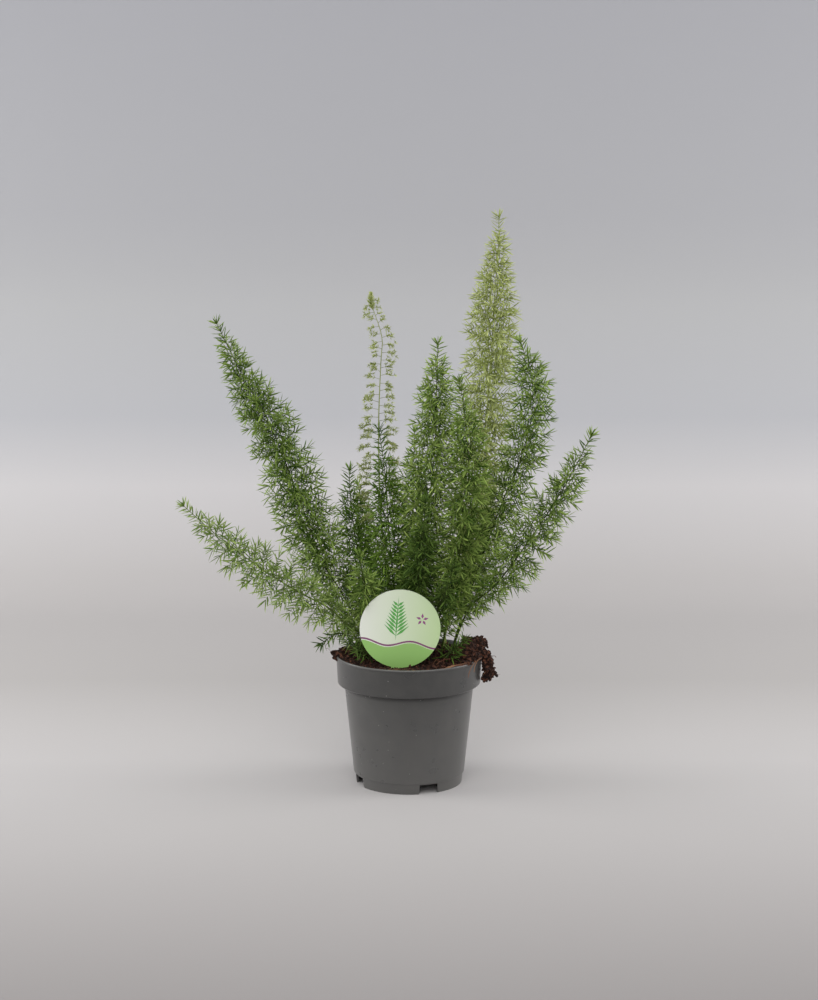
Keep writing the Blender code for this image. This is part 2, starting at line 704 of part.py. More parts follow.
def make_foliage(parts, routes, bodies):
    """Grow every plume: slim cores first, then needles where there is room for them."""
    cores = {plume.name: (routes[plume.name], core_radii(plume.name, plume.reach, routes))
             for plume in PLUMES}
    shoot_line = routes[SHOOT_NAME]
    cores[SHOOT_NAME] = (shoot_line, [SHOOT_RADIUS] * len(shoot_line))
    crowd = Crowd(bodies, cores)
    mesh = needle_mesh()
    chance = random.Random(7)
    for plume in PLUMES:
        line, radii = cores[plume.name]
        needles = new_collection(plume.name + " needles")
        grow_needles(plume, line, radii, crowd, mesh, needles, chance)
        core = core_mesh(plume.name, line, radii, parts)
        join_foliage(plume.name, core, needles, plume.colour, parts)
    needles = new_collection(SHOOT_NAME + " branchlets")
    line, radii = cores[SHOOT_NAME]
    grow_branchlets(line, radii, crowd, mesh, needles, chance)
    core = core_mesh(SHOOT_NAME, line, radii, parts)
    join_foliage(SHOOT_NAME, core, needles, PALE_GREEN, parts)


def join_foliage(name, core, needles, colour, parts):
    """Join a core and its needles in one solid."""
    plume = object_from(core, name, parts)
    add_boolean(plume, "UNION", needles)
    joined = evaluated_mesh(plume)
    if not is_closed(joined):
        plume.modifiers["Union"].solver = "MANIFOLD"
        joined = evaluated_mesh(plume)
    plume.data = joined
    plume.modifiers.clear()
    keep_largest_body(plume)
    remove_all(needles)
    plume.data.materials.clear()
    plume.data.materials.append(new_material(name, colour, 0.55))


def is_closed(mesh):
    """Say whether every edge of a mesh has two faces."""
    shape = bmesh.new()
    shape.from_mesh(mesh)
    closed = all(edge.is_manifold for edge in shape.edges)
    shape.free()
    return closed


def remove_all(collection):
    """Remove a collection with its objects."""
    for obj in list(collection.objects):
        bpy.data.objects.remove(obj)
    bpy.data.collections.remove(collection)


def keep_largest_body(obj):
    """Drop loose scraps and the skins of sealed hollows, which are bodies of their own."""
    shape = bmesh.new()
    shape.from_mesh(obj.data)
    waiting = set(shape.faces)
    bodies = []
    while waiting:
        body = {waiting.pop()}
        edge = set(body)
        while edge:
            edge = {other for face in edge for side in face.edges
                    for other in side.link_faces if other in waiting}
            waiting -= edge
            body |= edge
        bodies.append(body)
    bodies.sort(key=len)
    for body in bodies[:-1]:
        bmesh.ops.delete(shape, geom=list(body), context="FACES")
    shape.to_mesh(obj.data)
    shape.free()


main()
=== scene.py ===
# %% [markdown]
# # A foxtail fern in its nursery pot
#
# A foxtail fern is no fern: it is an asparagus. Its stems carry short twigs all round, and the
# twigs carry soft flat needles, so that each stem looks like a fox's tail. Here the tails rise from
# dark peat in a grey nursery pot, with a round plant label at the front.
#
# The script starts by loading the solid model. Every piece made here stands where its solid stands,
# and takes its place in the picture.

# %% Load the solid model
import math
import random

import bpy
import numpy
from mathutils import Matrix, Vector, noise


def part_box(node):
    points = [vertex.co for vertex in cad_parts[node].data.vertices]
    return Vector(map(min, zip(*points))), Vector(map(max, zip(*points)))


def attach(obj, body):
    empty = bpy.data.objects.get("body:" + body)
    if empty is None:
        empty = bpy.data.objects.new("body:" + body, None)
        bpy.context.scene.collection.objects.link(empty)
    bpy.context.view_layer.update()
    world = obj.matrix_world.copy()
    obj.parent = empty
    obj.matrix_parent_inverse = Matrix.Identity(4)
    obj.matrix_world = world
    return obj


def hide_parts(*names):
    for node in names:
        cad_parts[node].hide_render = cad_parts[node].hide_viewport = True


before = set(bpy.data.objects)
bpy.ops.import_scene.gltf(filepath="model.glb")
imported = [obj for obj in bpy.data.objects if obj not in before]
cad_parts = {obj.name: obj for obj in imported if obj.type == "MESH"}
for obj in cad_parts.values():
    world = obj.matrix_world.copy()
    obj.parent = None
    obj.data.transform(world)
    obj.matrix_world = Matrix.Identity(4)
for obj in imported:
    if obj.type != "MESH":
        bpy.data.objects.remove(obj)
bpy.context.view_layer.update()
bpy.ops.object.select_all(action="DESELECT")
MM = 0.001
print("solids:", len(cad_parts))

# %% [markdown]
# Colours are easiest to judge as the hex values of a paint chart, but Blender's shaders want linear
# light. One function turns the one into the other. A second small function adds a shader node,
# because a material is then read from top to bottom, like a recipe. A third adds a modifier and
# applies it at once, so that a piece is a plain mesh after each step.

# %% Colour, shader and modifier helpers
def linear(chart_colour):
    """Turn an sRGB hex colour into linear red, green, blue and alpha."""
    parts = [int(chart_colour[i:i + 2], 16) / 255 for i in (1, 3, 5)]
    light = [c / 12.92 if c <= 0.04045 else ((c + 0.055) / 1.055) ** 2.4 for c in parts]
    return (*light, 1.0)


def add_node(tree, kind, inputs=None, stops=(), **settings):
    """Add a shader node, set it up, and fill its sockets and its colour stops."""
    node = tree.nodes.new(kind)
    for name, value in settings.items():
        setattr(node, name, value)
    for socket, value in (inputs or {}).items():
        if isinstance(value, bpy.types.NodeSocket):
            tree.links.new(value, node.inputs[socket])
        else:
            node.inputs[socket].default_value = value
    if stops:
        ramp = node.color_ramp.elements
        ramp[0].position, ramp[0].color = stops[0]
        ramp[-1].position, ramp[-1].color = stops[-1]
        for position, colour in stops[1:-1]:
            ramp.new(position).color = colour
    return node


def new_finish(name, roughness, ior=1.5):
    """Start a material with its Principled shader."""
    material = bpy.data.materials.new(name)
    material.use_nodes = True
    shader = material.node_tree.nodes["Principled BSDF"]
    shader.inputs["Roughness"].default_value = roughness
    shader.inputs["IOR"].default_value = ior
    return material, material.node_tree, shader


def finish_with(piece, kind, **settings):
    """Add a modifier to a piece, set it up and apply it."""
    modifier = piece.modifiers.new(kind.title(), kind)
    for name, value in settings.items():
        setattr(modifier, name, value)
    bpy.context.view_layer.objects.active = piece
    bpy.ops.object.modifier_apply(modifier=modifier.name)


# %% [markdown]
# A studio sweep is one sheet that runs along the floor and curves up behind the object. It is
# modelled as a plane whose far edge is extruded upwards, and a bevel rounds the bend. The floor is
# a warm pale grey and the wall a cooler one, so the tone drifts with the distance along the sheet.
# Painted shade darkens it at the front, on the floor behind the pot and towards the top of the
# wall.
# The back of the sheet is clear, so that the wall doesn't hide the plant in views from behind.

# %% Studio sweep
SWEEP_HALF_WIDTH = 3.0
SWEEP_FRONT = -2.6
SWEEP_BACK = 0.95
SWEEP_HEIGHT = 2.6
SWEEP_BEND = 0.35


def make_sweep():
    """Floor and wall in one sheet."""
    depth = SWEEP_BACK - SWEEP_FRONT
    bpy.ops.mesh.primitive_plane_add(size=1, location=(0, (SWEEP_BACK + SWEEP_FRONT) / 2, 0))
    sweep = bpy.context.object
    sweep.name = "studio_sweep"
    sweep.scale = (2 * SWEEP_HALF_WIDTH, depth, 1)
    bpy.ops.object.transform_apply(location=True, scale=True)
    bpy.ops.object.mode_set(mode="EDIT")
    bpy.ops.mesh.select_all(action="DESELECT")
    bpy.ops.object.mode_set(mode="OBJECT")
    for edge in sweep.data.edges:
        ends = [sweep.data.vertices[index].co.y for index in edge.vertices]
        edge.select = min(ends) > SWEEP_BACK - 0.001
    bpy.ops.object.mode_set(mode="EDIT")
    bpy.ops.mesh.select_mode(type="EDGE")
    bpy.ops.mesh.extrude_region_move(TRANSFORM_OT_translate={"value": (0, 0, SWEEP_HEIGHT)})
    bpy.ops.object.mode_set(mode="OBJECT")
    finish_with(sweep, "BEVEL", width=SWEEP_BEND, segments=16, limit_method="ANGLE")
    bpy.ops.object.shade_smooth()
    return sweep


# Metres along the sheet, counted from under the pot, and the paper's tone there, with painted
# shade: darker at the front, on the floor behind the pot and up the wall.
PAPER_TONES_AND_SHADE = ((-0.5, "#A29D9B"), (-0.04, "#CCC8C6"), (0.06, "#CFCBC9"), (0.34, "#BDB9B6"),
               (0.75, "#C0BCBA"), (0.95, "#C8C5C5"), (1.08, "#B5B5B8"), (1.25, "#B5B5B6"),
               (1.36, "#ADADB0"), (1.7, "#A6A6AB"))


def sweep_paper():
    """Matt background paper, with a tone and painted shade that drift along the sheet, and a clear
    back.
    """
    material, tree, shader = new_finish("Matt background paper", 0.9)
    place = add_node(tree, "ShaderNodeTexCoord")
    split = add_node(tree, "ShaderNodeSeparateXYZ", {"Vector": place.outputs["Object"]})
    along = add_node(tree, "ShaderNodeMath", {0: split.outputs["Y"], 1: split.outputs["Z"]},
                     operation="ADD")
    start, end = PAPER_TONES_AND_SHADE[0][0], PAPER_TONES_AND_SHADE[-1][0]
    share = add_node(tree, "ShaderNodeMapRange", {"Value": along.outputs[0], "From Min": start,
                                                  "From Max": end})
    tones = add_node(tree, "ShaderNodeValToRGB", {"Fac": share.outputs["Result"]},
                     [((distance - start) / (end - start), linear(tone))
                      for distance, tone in PAPER_TONES_AND_SHADE])
    tree.links.new(tones.outputs["Color"], shader.inputs["Base Color"])
    side = add_node(tree, "ShaderNodeNewGeometry")
    clear = add_node(tree, "ShaderNodeBsdfTransparent")
    one_sided = add_node(tree, "ShaderNodeMixShader", {0: side.outputs["Backfacing"],
                                                       1: shader.outputs["BSDF"],
                                                       2: clear.outputs["BSDF"]})
    surface = next(node for node in tree.nodes if node.type == "OUTPUT_MATERIAL")
    tree.links.new(one_sided.outputs["Shader"], surface.inputs["Surface"])
    return material


sweep = make_sweep()
sweep.data.materials.append(sweep_paper())
print("sweep faces:", len(sweep.data.polygons))

# %% [markdown]
# The camera stands two metres away with a long lens, a little above the plant and looking slightly
# down on it, as a plant catalogue is shot. The rim and the foot of the pot, seen as two flat
# ellipses, gave its height and tilt.

# %% Camera
CAMERA_DISTANCE = 1.954
CAMERA_HEIGHT = 0.5754
CAMERA_TILT = 80.1          # degrees from straight down
FOCAL_LENGTH = 88.2         # millimetres, with 36 mm along the picture's longer side

bpy.ops.object.camera_add(location=(0, -CAMERA_DISTANCE, CAMERA_HEIGHT),
                          rotation=(math.radians(CAMERA_TILT), 0, 0))
camera = bpy.context.object
camera.data.lens = FOCAL_LENGTH
camera.data.sensor_width = 36
bpy.context.scene.camera = camera
print("camera at", tuple(round(value, 3) for value in camera.location))

# %% [markdown]
# A large soft box stands high behind the camera, so the front is evenly lit and the shadows fall
# back on the floor. A smaller one hangs overhead, and one at each side puts a soft shine on the
# pot's flanks. The world adds a little even fill. The Standard view keeps the greens as they are,
# where a filmic one would wash them out.

# %% Lights
def soft_light(name, place, aim_at, width, watts):
    """A square soft box that faces a point."""
    bpy.ops.object.light_add(type="AREA", location=place)
    light = bpy.context.object
    light.name = name
    light.data.size = width
    light.data.energy = watts
    light.rotation_euler = (Vector(aim_at) - Vector(place)).to_track_quat("-Z", "Y").to_euler()


soft_light("front box", (-0.2, -2.6, 1.7), (0, 0.2, 0.2), 2.4, 36)
soft_light("overhead box", (0.0, -0.3, 2.2), (0, 0, 0.2), 2.6, 14)
soft_light("left box", (-1.5, 0.1, 0.5), (0, 0, 0.1), 1.0, 13)
soft_light("right box", (1.5, 0.1, 0.5), (0, 0, 0.1), 1.0, 11.5)

world = bpy.data.worlds.new("studio fill")
bpy.context.scene.world = world
world.use_nodes = True
fill = world.node_tree.nodes["Background"]
fill.inputs["Color"].default_value = linear("#F2F5FA")
fill.inputs["Strength"].default_value = 0.38
bpy.context.scene.view_settings.view_transform = "Standard"

# %% [markdown]
# ## The pot
#
# A nursery pot is thin moulded polypropylene: a tapered body, a wide rim band that stands out on a
# step, and a foot ring with four gaps that let water out. It is turned here from one round face,
# which is extruded again and again, out along the underside, up the outside, over the rim and down
# the inside. The rim's radius and height come from the solid's box.

# %% Pot sizes
POT_LOW, POT_HIGH = (Vector(corner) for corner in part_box("pot"))
RIM_RADIUS = (POT_HIGH.x - POT_LOW.x) / 2
RIM_HEIGHT = POT_HIGH.z
POT_SIDES = 160
WALL = 1.4 * MM
BAND_RADIUS = 58.4 * MM
BAND_BOTTOM = 83.3 * MM
BODY_TOP_RADIUS = 52.8 * MM
BODY_TOP = 81.0 * MM
BODY_BOTTOM_RADIUS = 45.5 * MM
FOOT_HEIGHT = 8.5 * MM
FOOT_TOP_RADIUS = 44.3 * MM
FOOT_RADIUS = 43.4 * MM
FOOT_RING = 1.8 * MM
PAD_RADIUS = 22.0 * MM
PAD_SLOPE = 3.4 * MM
NOTCH_WIDTH = 16.5 * MM
NOTCH_HEIGHT = 7.9 * MM
FIRST_NOTCH = math.radians(21.5)
print("rim radius and height:", round(RIM_RADIUS, 4), round(RIM_HEIGHT, 4))

# %% Pot outline, from the underside out, up and back in
POT_OUTLINE = (
    (PAD_RADIUS + PAD_SLOPE, FOOT_HEIGHT),
    (FOOT_TOP_RADIUS - 1.3 * FOOT_RING, FOOT_HEIGHT),
    (FOOT_RADIUS - FOOT_RING, 0),
    (FOOT_RADIUS, 0),
    (FOOT_TOP_RADIUS, FOOT_HEIGHT - 0.3 * WALL),
    (FOOT_TOP_RADIUS + 0.25 * WALL, FOOT_HEIGHT + 0.2 * WALL),
    (BODY_BOTTOM_RADIUS - 0.2 * WALL, FOOT_HEIGHT + 0.2 * WALL),
    (BODY_BOTTOM_RADIUS, FOOT_HEIGHT + 0.8 * WALL),
    (BODY_TOP_RADIUS, BODY_TOP),
    (BODY_TOP_RADIUS, BAND_BOTTOM + 0.5 * WALL),
    (BAND_RADIUS - 1.1 * WALL, BAND_BOTTOM + 0.3 * WALL),
    (BAND_RADIUS - 0.6 * WALL, BAND_BOTTOM - 0.1 * WALL),
    (BAND_RADIUS, BAND_BOTTOM + 0.5 * WALL),
    (RIM_RADIUS - 0.45 * WALL, RIM_HEIGHT - 1.6 * WALL),
    (RIM_RADIUS, RIM_HEIGHT - 1.2 * WALL),
    (RIM_RADIUS, RIM_HEIGHT - 0.4 * WALL),
    (RIM_RADIUS - 0.3 * WALL, RIM_HEIGHT),
    (RIM_RADIUS - 0.75 * WALL, RIM_HEIGHT),
    (RIM_RADIUS - WALL, RIM_HEIGHT - 0.5 * WALL),
    (BAND_RADIUS - WALL, BAND_BOTTOM + 0.8 * WALL),
    (BODY_TOP_RADIUS - WALL, BODY_TOP + 0.6 * WALL),
    (BODY_BOTTOM_RADIUS - WALL, FOOT_HEIGHT + WALL),
    (PAD_RADIUS + PAD_SLOPE - WALL, FOOT_HEIGHT + WALL),
    (PAD_RADIUS - WALL, WALL),
)


def turn_outline(name, start_radius, outline, sides):
    """Extrude a round face at the floor along an outline of radii and heights."""
    bpy.ops.mesh.primitive_circle_add(vertices=sides, radius=start_radius, fill_type="NGON")
    piece = bpy.context.object
    piece.name = name
    bpy.ops.object.transform_apply(location=True)
    bpy.ops.object.mode_set(mode="EDIT")
    bpy.ops.mesh.select_mode(type="FACE")
    bpy.ops.mesh.select_all(action="SELECT")
    last_radius, last_height = start_radius, 0
    for radius, height in outline:
        bpy.ops.mesh.extrude_region_move(
            TRANSFORM_OT_translate={"value": (0, 0, height - last_height)})
        growth = radius / last_radius
        bpy.ops.transform.resize(value=(growth, growth, 1), center_override=(0, 0, height))
        last_radius, last_height = radius, height
    bpy.ops.mesh.select_all(action="SELECT")
    bpy.ops.mesh.normals_make_consistent(inside=False)
    bpy.ops.object.mode_set(mode="OBJECT")
    return piece


pot = turn_outline("nursery_pot", PAD_RADIUS, POT_OUTLINE, POT_SIDES)
print("pot faces:", len(pot.data.polygons))

# %% [markdown]
# The four gaps in the foot are cut with blocks, as the mould's inserts leave them, and the drain
# holes with short cylinders. A small bevel then breaks every sharp corner, because moulded plastic
# has none.

# %% Foot gaps, drain holes and soft corners
def cut_away(piece, cutter):
    """Subtract one object from another and remove it."""
    bpy.ops.object.select_all(action="DESELECT")
    piece.select_set(True)
    finish_with(piece, "BOOLEAN", operation="DIFFERENCE", object=cutter)
    bpy.data.objects.remove(cutter)


def around(angle, radius, height):
    """A point at an angle from the front towards the right."""
    return (radius * math.sin(angle), -radius * math.cos(angle), height)


NOTCH_DEPTH = 9 * MM
NOTCH_TAPER = 0.94
DRAIN_RADIUS = 4.5 * MM
DRAIN_PLACE = 34 * MM
for quarter in range(4):
    angle = FIRST_NOTCH + quarter * math.tau / 4
    bpy.ops.mesh.primitive_cube_add(size=1, location=around(angle, FOOT_RADIUS, 0),
                                    rotation=(0, 0, angle))
    block = bpy.context.object
    for corner in block.data.vertices:
        top = corner.co.z > 0
        corner.co.x *= NOTCH_WIDTH * (NOTCH_TAPER if top else 1)
        corner.co.y *= NOTCH_DEPTH
        corner.co.z = NOTCH_HEIGHT if top else -MM
    cut_away(pot, block)
    bpy.ops.mesh.primitive_cylinder_add(vertices=24, radius=DRAIN_RADIUS, depth=6 * WALL,
                                        location=around(angle, DRAIN_PLACE, FOOT_HEIGHT))
    cut_away(pot, bpy.context.object)

finish_with(pot, "BEVEL", width=0.3 * MM, segments=2, limit_method="ANGLE",
            angle_limit=math.radians(32))
bpy.ops.object.shade_smooth_by_angle(angle=math.radians(30))
print("pot faces with its gaps:", len(pot.data.polygons))

# %% [markdown]
# Polypropylene from an injection mould is matt with a soft sheen. The grey pigment is even. On it
# lie painted light, which makes the plastic paler towards the foot, painted shade, a dark line in
# the corner under the band, a painted highlight, a pale line on the rim's top edge, and a few light
# specks. Their scale is set in real millimetres. Each row of painted light or painted shade is a
# height on the pot and how much of it lies there.

# %% Moulded grey polypropylene
# Painted light: paler plastic towards the foot, and a painted highlight on the rim's top edge.
PAINTED_LIGHT_BY_HEIGHT = ((0, 0.19), (0.97 * BODY_TOP, 0.05), (BAND_BOTTOM, 0), (0.987 * RIM_HEIGHT, 0),
        (RIM_HEIGHT, 0.4))
# Painted shade: a dark line in the corner under the band.
PAINTED_SHADE_UNDER_BAND = ((0, 0), (78.5 * MM, 0), (81.8 * MM, 0.75), (83.2 * MM, 0.9), (83.5 * MM, 0),
         (RIM_HEIGHT, 0))
MOTTLE_SIZE = 14 * MM
SPECK_SPACING = 8 * MM
SPECK_SHARE = 0.05          # a speck's radius, as a share of the spacing
GRAIN_SIZE = 0.9 * MM


def moulded_polypropylene():
    """Grey plastic with a faint mottle, painted light towards the foot and on the rim's top edge,
    painted shade under the band, and a few specks.
    """
    material, tree, shader = new_finish("Moulded grey polypropylene", 0.3, ior=1.58)
    place = add_node(tree, "ShaderNodeTexCoord")
    mottle = add_node(tree, "ShaderNodeTexNoise", {"Vector": place.outputs["Object"],
                                                   "Scale": 1 / MOTTLE_SIZE, "Detail": 4.0})
    grey = add_node(tree, "ShaderNodeValToRGB", {"Fac": mottle.outputs["Fac"]},
                    ((0.3, linear("#3E3E3D")), (0.75, linear("#474644"))))
    height = add_node(tree, "ShaderNodeSeparateXYZ", {"Vector": place.outputs["Object"]})
    level = add_node(tree, "ShaderNodeMapRange", {"Value": height.outputs["Z"],
                                                  "From Max": RIM_HEIGHT})
    colour = grey.outputs["Color"]
    # Painted light, then painted shade, laid over the grey by height.
    for rows, painted_tone in ((PAINTED_LIGHT_BY_HEIGHT, "#9A9894"), (PAINTED_SHADE_UNDER_BAND, "#121110")):
        amount = add_node(tree, "ShaderNodeValToRGB", {"Fac": level.outputs["Result"]},
                          [(where / RIM_HEIGHT, (tone_share, tone_share, tone_share, 1)) for where, tone_share in rows])
        layer = add_node(tree, "ShaderNodeMix", {"Factor": amount.outputs["Color"], 6: colour,
                                                 7: linear(painted_tone)}, data_type="RGBA")
        colour = layer.outputs[2]
    specks = add_node(tree, "ShaderNodeTexVoronoi", {"Vector": place.outputs["Object"],
                                                     "Scale": 1 / SPECK_SPACING})
    speck = add_node(tree, "ShaderNodeMath", {0: specks.outputs["Distance"], 1: SPECK_SHARE},
                     operation="LESS_THAN")
    worn = add_node(tree, "ShaderNodeMix", {"Factor": speck.outputs[0], 6: colour,
                                            7: linear("#85837F")}, data_type="RGBA")
    tree.links.new(worn.outputs[2], shader.inputs["Base Color"])
    sheen = add_node(tree, "ShaderNodeMapRange", {"Value": mottle.outputs["Fac"],
                                                  "To Min": 0.24, "To Max": 0.34})
    tree.links.new(sheen.outputs["Result"], shader.inputs["Roughness"])
    grain = add_node(tree, "ShaderNodeTexNoise", {"Vector": place.outputs["Object"],
                                                  "Scale": 1 / GRAIN_SIZE, "Detail": 2.0})
    relief = add_node(tree, "ShaderNodeBump", {"Height": grain.outputs["Fac"], "Strength": 0.12,
                                               "Distance": 0.1 * MM})
    tree.links.new(relief.outputs["Normal"], shader.inputs["Normal"])
    return material


def place_piece(piece, node, finish):
    """Give a finished piece its finish and let it stand for its solid."""
    piece.data.materials.clear()
    piece.data.materials.append(finish)
    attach(piece, "root")
    if node:
        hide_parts(node)
    print(piece.name, "has", len(piece.data.polygons), "faces and the finish", finish.name)


place_piece(pot, "pot", moulded_polypropylene())

# %% [markdown]
# ## The soil
#
# Potting soil is dark peat: crumbs of every size with coarse coir fibres in it. The solid already
# has the heap at the right and the clump over the rim, so a copy of it is remeshed finely and
# roughened by noise at three sizes. Its hidden side is drawn in a little, clear of the pot's wall,
# and the clump outside the rim is made rougher and a little thinner than the rest.

# %% Rough soil from the solid
SOIL_VOXEL = 1.2 * MM
SOIL_HIDDEN_BELOW = 96 * MM
SOIL_DRAW_IN = 0.9 * MM
SOIL_LUMPS = ((7 * MM, 1.0 * MM), (3 * MM, 1.1 * MM), (1.5 * MM, 0.7 * MM))   # size and depth
CLUMP_LUMP_SIZE, CLUMP_LUMP_DEPTH = 4.6 * MM, 2.6 * MM
CLUMP_THINNING = 1.4 * MM
CLUMP_SHIFT = 1.2 * MM
LABEL_FOOT = Vector((-8, -46, 0)) * MM
FLAT_HALF_WIDTH, FLAT_DEPTH = 26 * MM, 6 * MM

solid = bpy.data.objects["soil"]
soil = bpy.data.objects.new("peat_surface", solid.data.copy())
bpy.context.scene.collection.objects.link(soil)
bpy.context.view_layer.objects.active = soil
soil.select_set(True)
bpy.ops.object.mode_set(mode="EDIT")
bpy.ops.mesh.select_all(action="SELECT")
bpy.ops.mesh.remove_doubles(threshold=0.00001)
bpy.ops.object.mode_set(mode="OBJECT")
finish_with(soil, "REMESH", mode="VOXEL", voxel_size=SOIL_VOXEL)


def near_label(place):
    """Say whether a place is on the flat soil at the label's foot."""
    return abs(place.x - LABEL_FOOT.x) < FLAT_HALF_WIDTH and place.y < LABEL_FOOT.y + FLAT_DEPTH


def roughen(mesh):
    """Move each point in or out by noise of several sizes."""
    normals = [vertex.normal.copy() for vertex in mesh.vertices]
    for vertex, normal in zip(mesh.vertices, normals):
        place = vertex.co.copy()
        outside = math.hypot(place.x, place.y) > RIM_RADIUS
        if place.z < SOIL_HIDDEN_BELOW and not outside:
            inward = Vector((-place.x, -place.y, 0)).normalized()
            vertex.co += inward * SOIL_DRAW_IN
            continue
        push = sum(depth * noise.noise(place / size) for size, depth in SOIL_LUMPS)
        if near_label(place):
            push *= 0.4
        elif outside:
            lump = CLUMP_LUMP_DEPTH * noise.noise(place / CLUMP_LUMP_SIZE)
            push = 2 * push + lump - CLUMP_THINNING
            vertex.co.x -= CLUMP_SHIFT
        vertex.co += normal * push


roughen(soil.data)
print("soil faces:", len(soil.data.polygons))

# %% [markdown]
# Loose crumbs lie on the surface. One crumb is a small ball with few faces. Copies of it are
# turned, squashed and half sunk on faces that are drawn by area from the soil's own open ones, more
# of them on the heap and fewer at the label. Some are spilt on the rim, front right.

# %% Copies of a small shape in one mesh
def template_of(piece):
    """Read a modelled shape's points and faces, and remove the object."""
    points = numpy.array([tuple(vertex.co) for vertex in piece.data.vertices])
    faces = [tuple(face.vertices) for face in piece.data.polygons]
    bpy.data.objects.remove(piece)
    return points, faces


def copied_faces(faces, point_count, copies):
    """Repeat the faces for each copy, whose points follow each other in one list."""
    return [tuple(corner + step for corner in face)
            for step in range(0, point_count * copies, point_count) for face in faces]


def new_piece(name, mesh):
    """Put a mesh in the scene as an object at the origin."""
    piece = bpy.data.objects.new(name, mesh)
    bpy.context.scene.collection.objects.link(piece)
    return piece


def piece_of_points(name, points, faces):
    """Make a piece from a list of points and faces."""
    mesh = bpy.data.meshes.new(name)
    mesh.from_pydata(points.tolist(), [], faces)
    mesh.update()
    return new_piece(name, mesh)


def piece_of_copies(name, template, places):
    """Make a piece from copies of a template; places is a list of 4 by 4 matrices."""
    points, faces = template
    padded = numpy.hstack((points, numpy.ones((len(points), 1))))
    moved = numpy.einsum("nij,vj->nvi", numpy.array(places), padded)[:, :, :3]
    return piece_of_points(name, moved.reshape(-1, 3),
                           copied_faces(faces, len(points), len(places)))


# %% Crumbs on the soil
CRUMB_COUNT = 2600
CRUMB_SMALL, CRUMB_LARGE = 0.5 * MM, 2.4 * MM
HEAP_FROM_X = 44 * MM
WALL_CLEAR = 55.5 * MM      # radius inside which the soil is clear of the pot's wall
OUTSIDE_GROWTH = 1.5        # how much further the crumbs outside the rim stand out of the soil
SPILL_COUNT = 110
SPILL_ANGLES = (-40, -14)   # degrees round the rim, from the right
SPILL_RADII = (55, 61)      # millimetres
SPILL_SIZES = (0.7, 1.9)    # millimetres
chance = random.Random(11)

bpy.ops.mesh.primitive_ico_sphere_add(subdivisions=1, radius=1)
crumb = bpy.context.object
for corner in crumb.data.vertices:
    corner.co *= 1 + 0.35 * noise.noise(corner.co * 1.7)
crumb_template = template_of(crumb)


def is_open(place):
    """Say whether a place on the soil is in the open, and not against the pot's wall."""
    distance = math.hypot(place.x, place.y)
    in_pot = place.z > SOIL_HIDDEN_BELOW and distance < WALL_CLEAR
    return in_pot or distance > RIM_RADIUS + MM or place.z > RIM_HEIGHT + MM


def crumb_share(face):
    """How many crumbs a face draws for its size: many on the heap, few at the label."""
    return face.area * (3 if face.center.x > HEAP_FROM_X else 0.4 if near_label(face.center) else 1)


open_faces = [face for face in soil.data.polygons if is_open(face.center)]
crumb_places = []
for spot in chance.choices(open_faces, weights=[crumb_share(face) for face in open_faces],
                           k=CRUMB_COUNT):
    size = CRUMB_SMALL + (CRUMB_LARGE - CRUMB_SMALL) * chance.random() ** 3
    turn = Matrix.Rotation(chance.uniform(0, math.tau), 4,
                           Vector([chance.gauss(0, 1) for axis in range(3)]))
    squash = Matrix.Diagonal((size, size * chance.uniform(0.6, 1),
                              size * chance.uniform(0.5, 0.9), 1))
    if math.hypot(spot.center.x, spot.center.y) > RIM_RADIUS:
        size *= OUTSIDE_GROWTH
    seat = spot.center + spot.normal * size * chance.uniform(0.2, 0.6)
    crumb_places.append(Matrix.Translation(seat) @ turn @ squash)
for spill in range(SPILL_COUNT):
    angle = math.radians(chance.uniform(*SPILL_ANGLES))
    radius = chance.uniform(*SPILL_RADII) * MM
    size = chance.uniform(*SPILL_SIZES) * MM
    turn = Matrix.Rotation(chance.uniform(0, math.tau), 4, Vector((chance.gauss(0, 1), 1, 1)))
    squash = Matrix.Diagonal((size, size * chance.uniform(0.6, 1), size * 0.8, 1))
    seat = Vector((radius * math.cos(angle), radius * math.sin(angle),
                   RIM_HEIGHT + chance.uniform(-0.5, 1.6) * MM))
    crumb_places.append(Matrix.Translation(seat) @ turn @ squash)
crumbs = piece_of_copies("peat_crumbs", crumb_template, crumb_places)
print("crumbs:", len(crumb_places))

# %% [markdown]
# Coir fibres are thin, stiff and bent, red-brown to straw. Each is one curve with a small round
# bevel, and all of them together are turned into a mesh. A few thicker ones lie on the heap and
# hang over the rim at the right. Their routes are in millimetres.

# %% Coir fibres
FIBRE_COUNT = 190
FIBRE_THICKNESS = 0.16 * MM
FIBRE_LENGTHS = (4, 13)     # millimetres
FIBRE_BEND = 0.45
HANGING_THICKNESS = 2.2 * FIBRE_THICKNESS


def fibre_route(start, heading, length):
    """Six points along a strand that wanders as it goes, more to the sides than up or down."""
    route = [start]
    for step in range(5):
        stray = Vector([chance.gauss(0, share * FIBRE_BEND) for share in (1, 1, 0.7)])
        heading = (heading + stray).normalized()
        route.append(route[-1] + heading * length / 5)
    return route


def add_strand(curve, route, thickness):
    """Add one strand that thins out at its ends."""
    spline = curve.splines.new("POLY")
    spline.points.add(len(route) - 1)
    for step, (point, place) in enumerate(zip(spline.points, route)):
        point.co = (*place, 1)
        point.radius = thickness * (0.6 if step in (0, len(route) - 1) else 1)


def curve_to_piece(name, curve):
    """Turn a curve into a mesh piece at the origin."""
    strand = bpy.data.objects.new(name + "_line", curve)
    bpy.context.scene.collection.objects.link(strand)
    graph = bpy.context.evaluated_depsgraph_get()
    mesh = bpy.data.meshes.new_from_object(strand.evaluated_get(graph))
    bpy.data.objects.remove(strand)
    return new_piece(name, mesh)


